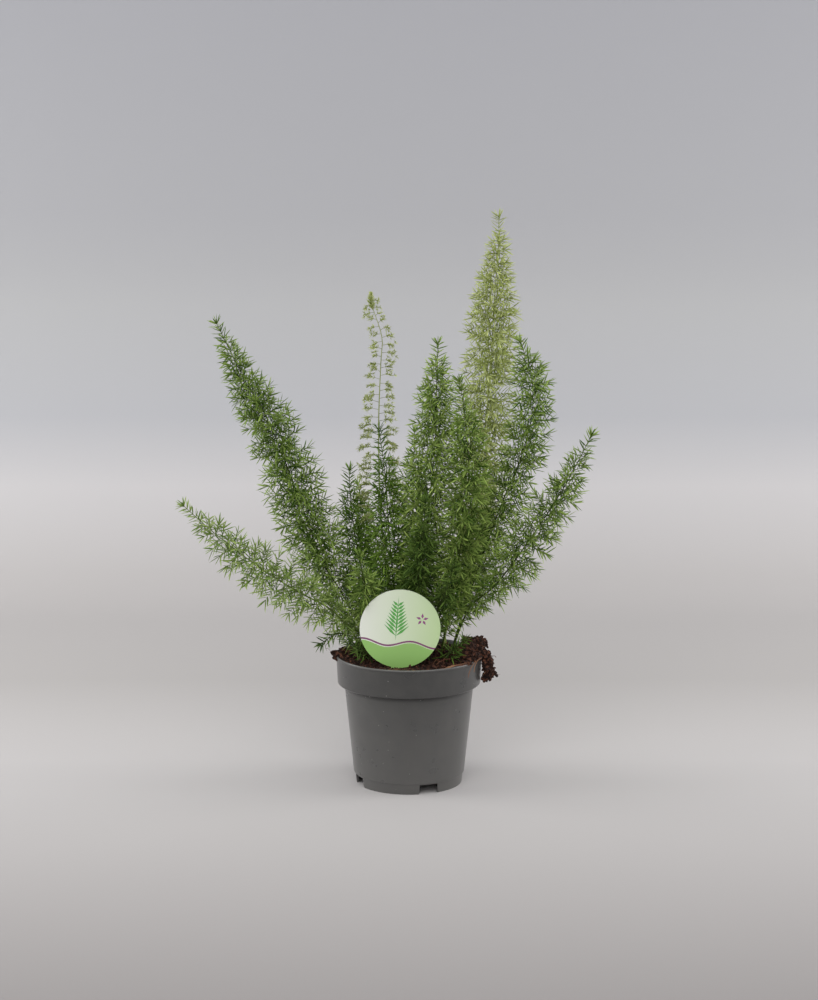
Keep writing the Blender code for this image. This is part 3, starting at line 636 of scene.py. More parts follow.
OVER_THE_RIM = (
    ((58, -22, 108), (57, -26, 108.5), (53, -31, 107), (50, -35.6, 104), (48, -38.4, 99),
     (47.6, -38.6, 96)),
    ((59, -20, 108), (57.6, -25, 109), (55, -29.5, 107.6), (53, -31.8, 104), (52.4, -32.2, 99)),
    ((28, -48, 106), (32, -49, 107.6), (37, -46, 108), (42, -43, 107.4), (46, -38, 106.6)),
    ((24, -49, 105.8), (30, -50, 106.6), (35, -49.4, 108), (39, -45, 108.2)),
    ((30, -44, 106), (35, -46, 108), (41, -44, 108.4), (47, -37, 108)),
    ((22, -40, 107), (24, -42, 110), (29, -42, 112), (33, -40, 112)),
)
fibre_curve = bpy.data.curves.new("fibres", "CURVE")
fibre_curve.dimensions = "3D"
fibre_curve.bevel_depth = 1
fibre_curve.bevel_resolution = 0
for spot in chance.choices(open_faces, weights=[face.area for face in open_faces], k=FIBRE_COUNT):
    start = spot.center - spot.normal * 0.4 * MM
    flat = Vector((chance.gauss(0, 1), chance.gauss(0, 1), 0)).normalized()
    heading = (flat + spot.normal * chance.uniform(0.05, 0.5)).normalized()
    route = fibre_route(start, heading, chance.uniform(*FIBRE_LENGTHS) * MM)
    if all(is_open(place) for place in route):
        add_strand(fibre_curve, route, FIBRE_THICKNESS * chance.uniform(0.6, 1.4))
for route in OVER_THE_RIM:
    add_strand(fibre_curve, [Vector(place) * MM for place in route], HANGING_THICKNESS)
fibres = curve_to_piece("coir_fibres", fibre_curve)
print("fibre faces:", len(fibres.data.polygons))

# %% [markdown]
# Damp peat is nearly black, with brown in its crumbs, and has no shine. Its colour changes from
# crumb to crumb, so the noise is as coarse as the large crumbs. Coir changes slowly along a strand.

# %% Damp peat and dry coir
CLOD_SIZE = 2.6 * MM
COIR_DRIFT = 9 * MM


def damp_peat():
    """Dark brown peat with lighter crumbs."""
    material, tree, shader = new_finish("Damp peat", 0.92, ior=1.45)
    place = add_node(tree, "ShaderNodeTexCoord")
    clods = add_node(tree, "ShaderNodeTexNoise", {"Vector": place.outputs["Object"],
                                                  "Scale": 1 / CLOD_SIZE, "Detail": 6.0,
                                                  "Roughness": 0.65})
    brown = add_node(tree, "ShaderNodeValToRGB", {"Fac": clods.outputs["Fac"]},
                     ((0.36, linear("#160B06")), (0.52, linear("#341C12")),
                      (0.68, linear("#84543E"))))
    tree.links.new(brown.outputs["Color"], shader.inputs["Base Color"])
    relief = add_node(tree, "ShaderNodeBump", {"Height": clods.outputs["Fac"], "Strength": 0.8,
                                               "Distance": 0.8 * MM})
    tree.links.new(relief.outputs["Normal"], shader.inputs["Normal"])
    return material


def dry_coir():
    """Coconut fibre, from red-brown to straw along its strands."""
    material, tree, shader = new_finish("Dry coir", 0.7, ior=1.5)
    place = add_node(tree, "ShaderNodeTexCoord")
    drift = add_node(tree, "ShaderNodeTexNoise", {"Vector": place.outputs["Object"],
                                                  "Scale": 1 / COIR_DRIFT, "Detail": 2.0})
    straw = add_node(tree, "ShaderNodeValToRGB", {"Fac": drift.outputs["Fac"]},
                     ((0.35, linear("#5A2A18")), (0.7, linear("#A07656"))))
    tree.links.new(straw.outputs["Color"], shader.inputs["Base Color"])
    return material


peat = damp_peat()
place_piece(soil, "soil", peat)
place_piece(crumbs, None, peat)
place_piece(fibres, None, dry_coir())

# %% [markdown]
# ## The label
#
# The label is a printed plastic card: a disc with a flat stake. It is modelled lying flat, face up,
# and only then stood up and tilted, because its print is easiest to lay out on the flat.

# %% Label card
LABEL_RADIUS = 32.3 * MM
LABEL_THICKNESS = 0.8 * MM
LABEL_CENTRE = Vector((-7.1, -45.0, 137.9)) * MM
LABEL_FORWARD = math.radians(3.0)
LABEL_ROLL = math.radians(4.5)
UP = math.radians(90)
STAKE_WIDTH = 10.0 * MM
STAKE_LENGTH = 38.0 * MM
STAND_LABEL = (Matrix.Translation(LABEL_CENTRE) @ Matrix.Rotation(LABEL_FORWARD, 4, "X")
               @ Matrix.Rotation(LABEL_ROLL, 4, "Y") @ Matrix.Rotation(UP, 4, "X"))

bpy.ops.mesh.primitive_cylinder_add(vertices=128, radius=LABEL_RADIUS, depth=LABEL_THICKNESS)
card = bpy.context.object
card.name = "label_card"
stake_top = -0.9 * LABEL_RADIUS
stake_end = -(LABEL_RADIUS + STAKE_LENGTH)
bpy.ops.mesh.primitive_cube_add(size=1, location=(0, (stake_top + stake_end) / 2, 0))
stake = bpy.context.object
stake.scale = (STAKE_WIDTH, stake_top - stake_end, LABEL_THICKNESS)
bpy.ops.object.transform_apply(location=True, scale=True)
for corner in stake.data.vertices:
    if corner.co.y < stake_end + MM:
        corner.co.x *= 0.3
finish_with(card, "BOOLEAN", operation="UNION", object=stake)
bpy.data.objects.remove(stake)
finish_with(card, "BEVEL", width=0.12 * MM, segments=2, limit_method="ANGLE")

flat = card.data.uv_layers[0]
flat.name = "print"
for loop in card.data.loops:
    spot = card.data.vertices[loop.vertex_index].co
    flat.data[loop.index].uv = (spot.x / LABEL_RADIUS, spot.y / LABEL_RADIUS)
print("label faces:", len(card.data.polygons))

# %% [markdown]
# The print is a plain one: a pale green ground that turns greener to one side, a mid-green field
# below with a wavy edge, a fine plum line over it, a sprig of needles and a small plum flower.
# Ground, field and line are drawn from the flat coordinates, which run from -1 to 1 over the disc.
# Sprig and flower are thin ink, laid on the card as flat shapes.

# %% Printed card
WAVES = 5.2
WAVE_HEIGHT, FIELD_LEVEL = 0.07, -0.42
LINE_LEVEL, LINE_HALF_WIDTH = 0.045, 0.022


def printed_card():
    """Offset-printed plastic card with a satin varnish."""
    material, tree, shader = new_finish("Printed plastic card", 0.34, ior=1.5)
    sheet = add_node(tree, "ShaderNodeUVMap", uv_map="print")
    across = add_node(tree, "ShaderNodeSeparateXYZ", {"Vector": sheet.outputs["UV"]})
    place = add_node(tree, "ShaderNodeMapRange", {"Value": across.outputs["X"], "From Min": -1.0})
    ground = add_node(tree, "ShaderNodeValToRGB", {"Fac": place.outputs["Result"]},
                      ((0, linear("#F8FBEF")), (1, linear("#C9E2A8"))))
    wave = add_node(tree, "ShaderNodeMath", {0: across.outputs["X"], 1: WAVES},
                    operation="MULTIPLY")
    swing = add_node(tree, "ShaderNodeMath", {0: wave.outputs[0]}, operation="SINE")
    edge = add_node(tree, "ShaderNodeMath", {0: swing.outputs[0], 1: WAVE_HEIGHT,
                                             2: FIELD_LEVEL}, operation="MULTIPLY_ADD")
    above = add_node(tree, "ShaderNodeMath", {0: across.outputs["Y"], 1: edge.outputs[0]},
                     operation="SUBTRACT")
    field = add_node(tree, "ShaderNodeMath", {0: above.outputs[0], 1: 0.0}, operation="LESS_THAN")
    line = add_node(tree, "ShaderNodeMath", {0: above.outputs[0], 1: LINE_LEVEL,
                                             2: LINE_HALF_WIDTH}, operation="COMPARE")
    colour = ground.outputs["Color"]
    for shape, ink in ((field, "#9CCB72"), (line, "#8A4F78")):
        layer = add_node(tree, "ShaderNodeMix", {"Factor": shape.outputs[0], 6: colour,
                                                 7: linear(ink)}, data_type="RGBA")
        colour = layer.outputs[2]
    tree.links.new(colour, shader.inputs["Base Color"])
    return material


card.data.transform(STAND_LABEL)
place_piece(card, "label", printed_card())

# %% Sprig and flower in ink on the card
INK = 0.05 * MM
SPRIG_PAIRS = 9
PETALS = 5


def ink_leaf(curve, foot, angle, length, width):
    """A pointed leaf outline from its foot."""
    along = Vector((math.cos(angle), math.sin(angle), 0))
    side = Vector((-along.y, along.x, 0))
    belly = foot + along * 0.4 * length
    outline = [foot, belly + side * width / 2, foot + along * length, belly - side * width / 2]
    spline = curve.splines.new("POLY")
    spline.points.add(len(outline) - 1)
    for point, spot in zip(spline.points, outline):
        point.co = (*spot, 1)
    spline.use_cyclic_u = True


def ink_piece(name, leaves, colour):
    """A set of flat ink leaves, laid on the card's front."""
    curve = bpy.data.curves.new(name, "CURVE")
    curve.dimensions = "2D"
    curve.fill_mode = "BOTH"
    curve.extrude = INK / 2
    for leaf in leaves:
        ink_leaf(curve, *leaf)
    piece = curve_to_piece(name, curve)
    piece.data.transform(STAND_LABEL @ Matrix.Translation((0, 0, (LABEL_THICKNESS + INK) / 2)))
    ink, _, shader = new_finish(name, 0.4)
    shader.inputs["Base Color"].default_value = linear(colour)
    place_piece(piece, None, ink)


green_leaves = [(Vector((-3, -10, 0)) * MM, UP, 37 * MM, 1.5 * MM)]
for pair in range(SPRIG_PAIRS):
    foot = Vector((-3, -6 + 3.1 * pair, 0)) * MM
    length = (13.5 - 0.95 * pair) * MM
    for side in (-1, 1):
        green_leaves.append((foot, UP + side * math.radians(48), length, 2.1 * MM))
ink_piece("sprig_print", green_leaves, "#5FAE52")
plum_petals = []
for petal in range(PETALS):
    angle = UP + petal * math.tau / PETALS
    foot = Vector((17 + math.cos(angle), 9 + math.sin(angle), 0)) * MM
    plum_petals.append((foot, angle, 4.2 * MM, 2.2 * MM))
ink_piece("flower_print", plum_petals, "#9A5A8A")
print("leaves and petals in ink:", len(green_leaves), len(plum_petals))

# %% [markdown]
# ## The tails
#
# Each tail follows a line that is bent to the photo, from the hole in the soil to its tip.
# A smooth curve through a few points is enough. The routes are in millimetres.

# %% Lines of the stems
ROOT_DEPTH = 16 * MM
COLLAR = 7 * MM
LINE_STEP = 4 * MM


def spline_point(before, start, end, after, share):
    """A point of the Catmull-Rom curve between start and end."""
    square, cube = share * share, share ** 3
    return 0.5 * (2 * start + (end - before) * share
                  + (2 * before - 5 * start + 4 * end - after) * square
                  + (3 * start - before - 3 * end + after) * cube)


def stem_line(route):
    """A smooth line through a route, with a straight foot in the soil before it."""
    knots = [Vector(point) * MM for point in route]
    upright = ((knots[1] - knots[0]).normalized() + Vector((0, 0, 1))).normalized()
    foot = knots[0] - upright * ROOT_DEPTH
    knots = [foot, knots[0] + upright * COLLAR] + knots[1:]
    line = [foot]
    for index in range(1, len(knots) - 1):
        before, start, end = knots[index - 1], knots[index], knots[index + 1]
        after = knots[min(index + 2, len(knots) - 1)]
        count = max(2, round((end - start).length / LINE_STEP))
        line += [spline_point(before, start, end, after, step / count) for step in range(count)]
    line.append(knots[-1])
    return line


class Line:
    """A line that can be asked for the point and the direction at any length along it."""

    def __init__(self, points):
        self.points = numpy.array([tuple(point) for point in points])
        steps = numpy.linalg.norm(numpy.diff(self.points, axis=0), axis=1)
        self.lengths = numpy.concatenate(([0], numpy.cumsum(steps)))
        self.length = float(self.lengths[-1])

    def at(self, along):
        """The point at a length along the line."""
        return Vector([numpy.interp(along, self.lengths, self.points[:, axis])
                       for axis in range(3)])

    def heading(self, along):
        """The direction at a length along the line."""
        near = min(along, self.length - MM)
        return (self.at(near + MM) - self.at(near)).normalized()


# %% [markdown]
# A needle is modelled once: a three-sided cone, cut near its root and near its tip, widened at both
# cuts and flattened. Real ones are about 10 mm long and 1 mm wide, and end in a short point. A twig
# is a three-sided rod that tapers, cut once in the middle so that it can bend.

# %% Needle and twig to copy
NEEDLE_WIDTH = 1.05 * MM
NEEDLE_CUTS = ((0.3, 0.56), (0.72, 0.48))   # place along it, and its half width there
NEEDLE_FLATNESS = 0.5


def select_where(piece, test):
    """Select the points that pass a test, in edit mode."""
    bpy.ops.object.mode_set(mode="EDIT")
    bpy.ops.mesh.select_mode(type="VERT")
    bpy.ops.mesh.select_all(action="DESELECT")
    bpy.ops.object.mode_set(mode="OBJECT")
    for vertex in piece.data.vertices:
        vertex.select = test(vertex.co)
    bpy.ops.object.mode_set(mode="EDIT")


def model_needle():
    """One unit needle along Z, its root at the origin and its flat side facing Y."""
    bpy.ops.mesh.primitive_cone_add(vertices=3, radius1=0.3, radius2=0, depth=1,
                                    end_fill_type="NGON", location=(0, 0, 0.5))
    needle = bpy.context.object
    bpy.ops.object.transform_apply(location=True)
    for height, half_width in NEEDLE_CUTS:
        bpy.ops.object.mode_set(mode="EDIT")
        bpy.ops.mesh.select_all(action="SELECT")
        bpy.ops.mesh.bisect(plane_co=(0, 0, height), plane_no=(0, 0, 1))
        select_where(needle, lambda place: abs(place.z - height) < 0.01)
        growth = half_width / max(math.hypot(vertex.co.x, vertex.co.y)
                                  for vertex in needle.data.vertices if vertex.select)
        bpy.ops.transform.resize(value=(growth, growth, 1), center_override=(0, 0, height))
        bpy.ops.object.mode_set(mode="OBJECT")
    bpy.ops.object.mode_set(mode="EDIT")
    bpy.ops.mesh.select_all(action="SELECT")
    bpy.ops.transform.resize(value=(1, NEEDLE_FLATNESS, 1), center_override=(0, 0, 0))
    bpy.ops.object.mode_set(mode="OBJECT")
    return template_of(needle)


def model_twig():
    """One unit twig along Z, three-sided, half as thick at its end."""
    bpy.ops.mesh.primitive_cone_add(vertices=3, radius1=0.5, radius2=0.25, depth=1,
                                    end_fill_type="NGON", location=(0, 0, 0.5))
    twig = bpy.context.object
    bpy.ops.object.transform_apply(location=True)
    bpy.ops.object.mode_set(mode="EDIT")
    bpy.ops.mesh.select_all(action="SELECT")
    bpy.ops.mesh.bisect(plane_co=(0, 0, 0.5), plane_no=(0, 0, 1))
    bpy.ops.object.mode_set(mode="OBJECT")
    return template_of(twig)


NEEDLE = model_needle()
TWIG = model_twig()
print("faces of a needle and a twig:", len(NEEDLE[1]), len(TWIG[1]))

# %% [markdown]
# A tail is grown, not drawn. Twigs leave the stem in a golden-angle spiral, and needles leave each
# twig in small bunches, which is how the plant does it. Each copy is noted as one row: where it
# starts, where it points, how long and wide it is, how it bends and its colour. One function then
# turns all the rows of a tail into one mesh, with the colours in an attribute. A needle is darker
# at its root than at its tip, because little light reaches the twig.

# %% From rows to a mesh
GOLDEN_ANGLE = math.radians(137.5)
ROOT_SHADE, TIP_GAIN = 0.62, 0.64


class Rows:
    """Copies of one template, noted before they are made."""

    def __init__(self, template):
        self.template = template
        self.rows = []

    def add(self, root, heading, length, width, sag, colour):
        """Note one copy; sag is how far its end drops, and colour is linear."""
        self.rows.append((*root, *heading, length, width, sag, *colour[:3]))

    def build(self, rng):
        """Return the points, the faces and the colours of all copies."""
        points, faces = self.template
        rows = numpy.array(self.rows)
        root, heading = rows[:, 0:3], rows[:, 3:6]
        length, width, sag, colour = rows[:, 6], rows[:, 7], rows[:, 8], rows[:, 9:12]
        loose = rng.normal(size=heading.shape)
        side = numpy.cross(heading, loose)
        side /= numpy.linalg.norm(side, axis=1)[:, None]
        front = numpy.cross(heading, side)
        x, y, z = points[:, 0], points[:, 1], points[:, 2]
        moved = (root[:, None, :]
                 + side[:, None, :] * (x[None, :] * width[:, None])[:, :, None]
                 + front[:, None, :] * (y[None, :] * width[:, None])[:, :, None]
                 + heading[:, None, :] * (z[None, :] * length[:, None])[:, :, None])
        moved[:, :, 2] -= sag[:, None] * (z * z)[None, :]
        colours = colour[:, None, :] * (ROOT_SHADE + TIP_GAIN * z)[None, :, None]
        return (moved.reshape(-1, 3), copied_faces(faces, len(points), len(rows)),
                colours.reshape(-1, 3))


def paint(piece, colours):
    """Store a colour for each point in an attribute called tint."""
    tint = piece.data.attributes.new("tint", "FLOAT_COLOR", "POINT")
    opaque = numpy.ones((len(colours), 1))
    tint.data.foreach_set("color", numpy.hstack((numpy.clip(colours, 0, 1), opaque)).ravel())


def piece_of_rows(name, sets, rng):
    """Join several sets of rows in one painted piece."""
    points, faces, colours, count = [], [], [], 0
    for rows in sets:
        some_points, some_faces, some_colours = rows.build(rng)
        points.append(some_points)
        colours.append(some_colours)
        faces += [tuple(corner + count for corner in face) for face in some_faces]
        count += len(some_points)
    piece = piece_of_points(name, numpy.vstack(points), faces)
    paint(piece, numpy.vstack(colours))
    return piece


# %% Directions, colours and places that a tail needs
# How far a tail has filled out: shares of its tapering length from the tip, and of its reach.
FILLING = ((0, 0.3), (0.12, 0.34), (0.24, 0.48), (0.34, 0.6), (0.5, 0.8), (0.65, 0.9), (1, 1))
TO_LABEL = STAND_LABEL.inverted()


def envelope(from_foot, from_tip, taper):
    """A tail's radius as a share of its reach: it fills out from both ends."""
    tip = float(numpy.interp(from_tip / taper, *zip(*FILLING)))
    return min(tip, 0.5 + from_foot / (1.1 * taper))


def aim(direction, angle, lean):
    """A direction that leans away from another, at an angle round it."""
    reference = Vector((0, 1, 0)) if abs(direction.y) < 0.9 else Vector((1, 0, 0))
    side = direction.cross(reference).normalized()
    front = side.cross(direction)
    out = side * math.cos(angle) + front * math.sin(angle)
    return (direction * math.cos(lean) + out * math.sin(lean)).normalized()


def blend_colour(first, second, share):
    """Mix two linear colours."""
    return tuple(a + (b - a) * share for a, b in zip(first[:3], second[:3]))


def blocked(point):
    """Say whether a needle's end would be in the soil, in the rim or in front of the label."""
    if point.z < RIM_HEIGHT + MM and math.hypot(point.x, point.y) < RIM_RADIUS + 0.6 * MM:
        return True
    flat = TO_LABEL @ point
    return flat.z > -1.5 * MM and math.hypot(flat.x, flat.y) < LABEL_RADIUS + 0.5 * MM


# %% Growing a twig
TWIG_WIDTH = 0.6 * MM
TWIG_SAG = 0.14
BUNCH_STEP, BUNCH = 2.6 * MM, 3
BRUSH = 4
NEEDLE_LENGTH = 10.0 * MM
# Painted shade: needles near a twig's root, inside the tail, lean to the shaded green, and those
# further out to the lit green.
PAINTED_LIGHT_AT_TWIG_ROOT, PAINTED_LIGHT_GAIN = 0.26, 0.36


def add_needle(needles, spot, heading, length, greens, lightness=0.48):
    """Note one needle, if its ends are clear; lightness goes from the shaded green to the lit
    green, as painted light.
    """
    end = spot + heading * length
    if blocked(end) or blocked(spot):
        return
    shade = blend_colour(*greens, min(1, max(0, chance.gauss(lightness, 0.3))))
    needles.add(spot, heading, length, NEEDLE_WIDTH * chance.uniform(0.85, 1.15),
                length * chance.uniform(-0.06, 0.18), shade)


def grow_twig(needles, twigs, root, heading, length, colours):
    """One twig with bunches of needles along it and a brush at its end."""
    dark, light, wood = colours
    sag = length * chance.uniform(0, TWIG_SAG)
    end = root + heading * length - Vector((0, 0, sag))
    if blocked(end):
        return
    twigs.add(root, heading, length, TWIG_WIDTH, sag, wood)
    bunches = max(1, round(length / BUNCH_STEP))
    for bunch in range(1, bunches + 1):
        part = bunch / bunches
        spot = root + heading * length * part - Vector((0, 0, sag * part * part))
        at_end = bunch == bunches
        count = BRUSH if at_end else BUNCH
        turn = chance.uniform(0, math.tau)
        for needle in range(count):
            lean = chance.uniform(0.25, 0.95) if at_end else chance.uniform(0.7, 1.25)
            out = aim(heading, turn + needle * math.tau / count + chance.gauss(0, 0.25), lean)
            add_needle(needles, spot, out, NEEDLE_LENGTH * chance.uniform(0.72, 1.12),
                       (dark, light), PAINTED_LIGHT_AT_TWIG_ROOT + PAINTED_LIGHT_GAIN * part)


# %% Growing a tail
TWIG_LEAN, TIP_LEAN_LOSS = 82, 24       # degrees
TWIG_SHARES = (0.82, 1.1)               # of the room that a twig has
SHORTEST_TWIG = 2.5 * MM
WHORL, WHORL_STEP = 4, 3.0 * MM
TIP_NEEDLES = 8


def grow_tail(name, node, route, reach, taper, bare, spacing, colours, slot):
    """One tail: its stem, its twigs all round, and needles straight on the stem at the tip."""
    line = Line(stem_line(route))
    needles, twigs = Rows(NEEDLE), Rows(TWIG)
    dark, light, wood = colours
    along, index = bare * MM, 0
    while along < line.length:
        left = line.length - along
        radius = reach * MM * envelope(along - bare * MM, left, taper * MM)
        direction, place = line.heading(along), line.at(along)
        angle = index * GOLDEN_ANGLE + chance.gauss(0, 0.2)
        near_tip = max(0, 1 - left / (taper * MM))
        lean = math.radians(TWIG_LEAN - TIP_LEAN_LOSS * near_tip) + chance.gauss(0, 0.12)
        room = (radius - 0.75 * NEEDLE_LENGTH) / math.sin(lean)
        if room > SHORTEST_TWIG:
            length = room * chance.uniform(*TWIG_SHARES)
            grow_twig(needles, twigs, place, aim(direction, angle, lean), length, colours)
            along += spacing * MM * chance.uniform(0.8, 1.2)
        else:
            for turn in range(WHORL):
                out = aim(direction, angle + turn * math.tau / WHORL,
                          lean * chance.uniform(0.75, 1.15))
                add_needle(needles, place, out, NEEDLE_LENGTH * chance.uniform(0.75, 1.0),
                           (dark, light))
            along += WHORL_STEP * chance.uniform(0.8, 1.2)
        index += 1
    for turn in range(TIP_NEEDLES):
        out = aim(line.heading(line.length), turn * GOLDEN_ANGLE, chance.uniform(0.2, 1.0))
        add_needle(needles, line.at(line.length - chance.uniform(0, 2) * MM), out,
                   0.85 * NEEDLE_LENGTH, (dark, light))
    tail = piece_of_rows(name, (needles, twigs), numpy.random.default_rng(index))
    add_stem(tail, line, wood)
    place_piece(tail, node, waxy_needles)
    return len(needles.rows)


# %% [markdown]
# The stem is a curve with a round bevel that thins towards its tip. It is made a mesh, painted in
# the same attribute, and joined to its tail.

# %% Stem of a tail
STEM_RADIUS = 0.9 * MM
STEM_STEP = 6 * MM
STEM_THINNING = 0.72


def add_stem(tail, line, colour, radius=STEM_RADIUS):
    """Join a tapering stem to a tail's mesh."""
    curve = bpy.data.curves.new("stem", "CURVE")
    curve.dimensions = "3D"
    curve.bevel_depth = 1
    curve.bevel_resolution = 1
    curve.use_fill_caps = True
    count = max(4, round(line.length / STEM_STEP))
    spline = curve.splines.new("POLY")
    spline.points.add(count)
    for step, point in enumerate(spline.points):
        share = step / count
        point.co = (*line.at(share * line.length), 1)
        point.radius = radius * (1 - STEM_THINNING * share)
    stem = curve_to_piece("stem", curve)
    paint(stem, numpy.tile(colour[:3], (len(stem.data.vertices), 1)))
    stem.data.materials.clear()
    bpy.ops.object.select_all(action="DESELECT")
    stem.select_set(True)
    tail.select_set(True)
    bpy.context.view_layer.objects.active = tail
    bpy.ops.object.join()


# %% [markdown]
# The needles have a thin wax on them: a soft broad shine and no gloss. Their green comes from the
# attribute, and slow noise makes some patches of a tail a little darker than others.

# %% Waxy needles
PATCH_SIZE = 16 * MM
PATCH_VALUES = (0.82, 1.12)


def make_waxy_needles():
    """Green needles with their own tint, a faint mottle and a waxy surface."""
    material, tree, shader = new_finish("Waxy green needles", 0.6, ior=1.4)
    shader.inputs["Specular IOR Level"].default_value = 0.2
    tint = add_node(tree, "ShaderNodeAttribute", attribute_name="tint")
    place = add_node(tree, "ShaderNodeTexCoord")
    patches = add_node(tree, "ShaderNodeTexNoise", {"Vector": place.outputs["Object"],
                                                    "Scale": 1 / PATCH_SIZE, "Detail": 3.0})
    value = add_node(tree, "ShaderNodeMapRange", {"Value": patches.outputs["Fac"],
                                                  "From Min": 0.3, "From Max": 0.7,
                                                  "To Min": PATCH_VALUES[0],
                                                  "To Max": PATCH_VALUES[1]})
    green = add_node(tree, "ShaderNodeHueSaturation", {"Color": tint.outputs["Color"],
                                                       "Value": value.outputs["Result"]})
    tree.links.new(green.outputs["Color"], shader.inputs["Base Color"])
    return material


waxy_needles = make_waxy_needles()

# %% Greens: of a needle in the shade, of one in the light, and of the wood
def tail_greens(*chart_colours):
    """Turn three hex colours into linear ones."""
    return tuple(linear(colour) for colour in chart_colours)


FRESH = tail_greens("#3C5C18", "#9CB45A", "#43521F")
MILD = tail_greens("#46661E", "#AEC468", "#4A5824")
SHADED = tail_greens("#2C4512", "#627C34", "#3E4C22")
DEEP = tail_greens("#385716", "#769438", "#435420")
SOFT = tail_greens("#5E7C30", "#A6BA6A", "#66763A")
PALE = tail_greens("#96A452", "#C8D08C", "#98A25E")

# %% [markdown]
# Now the tails themselves. Each row has the solid that a tail stands for, its route from the soil
# up, the radius that its twigs reach, the length over which it narrows to its tip, the bare length
# at its foot, the distance between twigs, its greens, and its slot. All lengths are in millimetres.
# The pale one is young growth, and the low left one has more room and is looser.

# %% All the full tails
TAILS = (
    ("plume_low_left", ((-36, -8, 107), (-60, -30, 148), (-90, -45, 169), (-120, -58, 192),
                        (-152, -66, 219), (-176, -70, 242)), 25, 100, 34, 1.9, SOFT, "leaf_light"),
    ("plume_tall_left", ((-30, 2, 107), (-52, 5, 151), (-73, 12, 187), (-92, 22, 238),
                         (-115, 28, 295), (-134, 28, 329), (-156, 24, 376)),
     29, 160, 30, 1.15, FRESH, "leaf_mid"),
    ("plume_short_left", ((-24, 12, 106), (-35, 22, 155), (-44, 35, 195), (-49, 42, 235),
                          (-49, 44, 252)), 21, 80, 24, 1.4, DEEP, "leaf_dark"),
    ("plume_dark_centre", ((-8, 0, 106), (-12, -6, 161), (-16, -10, 207), (-19, -13, 255),
                           (-24, -16, 295)), 21, 110, 24, 1.35, DEEP, "leaf_dark"),
    ("plume_tall_centre", ((4, -8, 106), (10, -12, 162), (15, -20, 222), (21, -26, 287),
                           (22, -28, 336), (23, -28, 365)), 25.5, 95, 28, 1.1, MILD, "leaf_mid"),
    ("plume_tall_pale", ((28, 28, 105), (41, 42, 151), (53, 50, 200), (62, 56, 275), (67, 57, 333),
                         (70, 55, 391), (73, 50, 436), (73, 46, 460)),
     28, 145, 50, 1.35, PALE, "leaf_pale"),
    ("plume_curved_right", ((36, 6, 108), (56, 6, 175), (75, 4, 230), (91, 0, 271), (99, -4, 308),
                            (97, -6, 341), (88, -6, 364)), 22.5, 58, 40, 1.4, FRESH, "leaf_mid"),
    ("plume_far_right", ((36, -8, 111), (50, -16, 150), (70, -26, 170), (98.5, -40, 213),
                         (124, -50, 256.5), (143, -56, 296)), 24, 105, 50, 1.6, FRESH, "leaf_mid"),
    ("plume_front_right", ((26, -14, 106), (35, -26, 165), (43, -38, 217), (47, -45, 266),
                           (44, -48, 310), (39, -48, 338)), 22, 100, 36, 1.3, FRESH, "leaf_mid"),
    ("plume_front_left", ((-20, -14, 105), (-30, -30, 150), (-36, -50, 179), (-39, -66, 201)),
     18, 70, 20, 1.3, FRESH, "leaf_mid"),
    ("plume_front_centre", ((2, -20, 105), (5, -26, 157), (10, -42, 201), (13, -54, 243)),
     19, 80, 24, 1.3, SHADED, "leaf_mid"),
    ("plume_back_left", ((-16, 32, 106), (-22, 50, 149), (-34, 84, 190), (-44, 118, 228)),
     20, 90, 24, 1.6, FRESH, "leaf_mid"),
    ("plume_back_centre", ((2, 34, 106), (1, 50, 149), (3, 85, 202), (4, 112, 245), (5, 126, 272)),
     20, 90, 24, 1.6, DEEP, "leaf_dark"),
    ("plume_back_right", ((20, 40, 105), (34, 58, 149), (56, 92, 190), (72, 120, 222)),
     20, 90, 24, 1.6, FRESH, "leaf_mid"),
    ("sprig_label_right", ((16, -24, 106), (22, -34, 147), (29, -48, 169), (35, -58, 190)),
     15, 60, 30, 1.6, SHADED, "leaf_mid"),
    ("sprig_rim_left", ((-38, -20, 106), (-52, -30, 130), (-61, -39, 131), (-70, -46, 126)),
     11, 40, 12, 4.4, SHADED, "leaf_light"),
    ("sprig_base_left", ((-30, -26, 106), (-40, -35, 118), (-47, -43, 126)),
     13, 34, 8, 1.5, SHADED, "leaf_mid"),
    ("sprig_base_right", ((30, -26, 105), (37, -35, 119), (44, -42, 128)),
     12, 32, 8, 1.6, SHADED, "leaf_mid"),
)
needle_count = sum(grow_tail("tail_" + node.split("_", 1)[1], node, *growth)
                   for node, *growth in TAILS)
print("needles:", needle_count)

# %% [markdown]
# The young shoot hasn't opened yet. Its branchlets hang out left and right in turn, and carry tiny
# bunches of very short needles, like beads of moss.

# %% Young shoot
SHOOT_ROUTE = ((-10, 16, 106), (-17, 26, 163), (-23, 34, 212), (-25, 38, 284), (-23, 36, 342),
               (-22, 34, 363), (-30, 31, 389), (-31, 30, 399))
SHOOT_FROM, SHOOT_TO = 0.38, 0.985          # shares of the stem that carry branchlets
BRANCHLETS = 60
BRANCHLET_LENGTH, BRANCHLET_LOSS = 21, 16   # millimetres, at the lowest, and lost up to the tip
BEAD_STEP = 2.0 * MM
TUFT = 5
TIP_WHORLS, TIP_WHORL, TIP_STEP = 24, 4, 0.6 * MM
YOUNG = tail_greens("#8E9A50", "#C8D08C", "#9AA268")


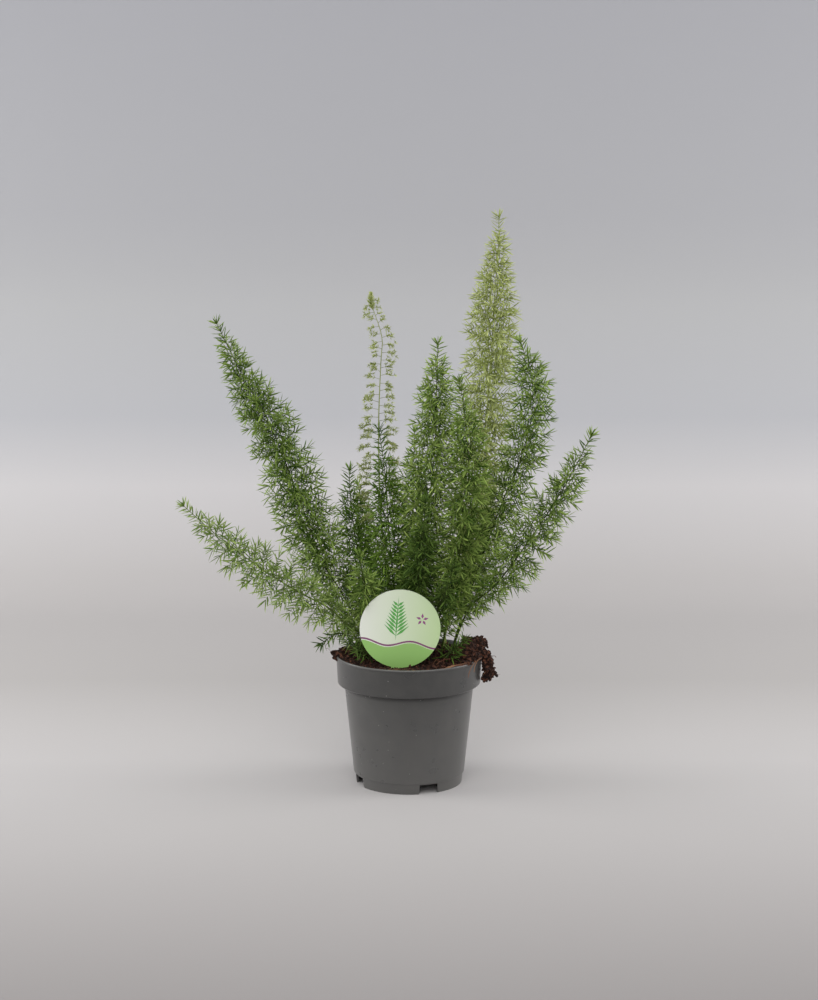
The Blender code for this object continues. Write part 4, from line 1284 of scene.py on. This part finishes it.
def grow_shoot():
    """A thin pale stem with drooping branchlets that carry beads of tiny needles."""
    line = Line(stem_line(SHOOT_ROUTE))
    needles, twigs = Rows(NEEDLE), Rows(TWIG)
    dark, light, wood = YOUNG
    for index in range(BRANCHLETS):
        part = (index + 0.5) / BRANCHLETS
        along = line.length * (SHOOT_FROM + (SHOOT_TO - SHOOT_FROM) * part)
        angle = math.pi * (index % 2) + chance.uniform(-0.8, 0.8)
        heading = aim(line.heading(along), angle, math.radians(chance.uniform(58, 80)))
        length = (BRANCHLET_LENGTH - BRANCHLET_LOSS * part) * MM * chance.uniform(0.8, 1.1)
        sag = length * chance.uniform(0.15, 0.45)
        root = line.at(along)
        twigs.add(root, heading, length, 0.5 * MM, sag, wood)
        beads = max(2, int(length / BEAD_STEP))
        for bead in range(beads):
            share = 0.35 + 0.65 * (bead + 1) / beads
            spot = root + heading * length * share - Vector((0, 0, sag * share * share))
            side = aim(heading, chance.uniform(0, math.tau), chance.uniform(0.5, 1.2))
            out_by = chance.uniform(1.2, 3.4) * MM
            twigs.add(spot, side, out_by, 0.4 * MM, 0.1 * out_by, wood)
            for tuft, middle in ((spot, heading), (spot + side * out_by, side)):
                for needle in range(TUFT):
                    out = aim(middle, needle * math.tau / TUFT + chance.gauss(0, 0.3),
                              chance.uniform(0.3, 1.2))
                    needles.add(tuft, out, chance.uniform(2.2, 3.8) * MM, 0.6 * MM, 0.5 * MM,
                                blend_colour(dark, light, chance.random()))
    for whorl in range(TIP_WHORLS):
        along = line.length - whorl * TIP_STEP
        for needle in range(TIP_WHORL):
            out = aim(line.heading(along), whorl + needle * math.tau / TIP_WHORL,
                      chance.uniform(0.3, 0.9))
            size = 2.4 + 0.25 * min(whorl, 14) - 0.12 * max(0, whorl - 14)
            needles.add(line.at(along), out, size * MM, 0.8 * MM, 0,
                        blend_colour(dark, light, chance.random()))
    shoot = piece_of_rows("young_shoot", (needles, twigs), numpy.random.default_rng(5))
    add_stem(shoot, line, wood, 1.0 * MM)
    place_piece(shoot, "shoot_young", waxy_needles)
    print("beads' needles:", len(needles.rows))


grow_shoot()
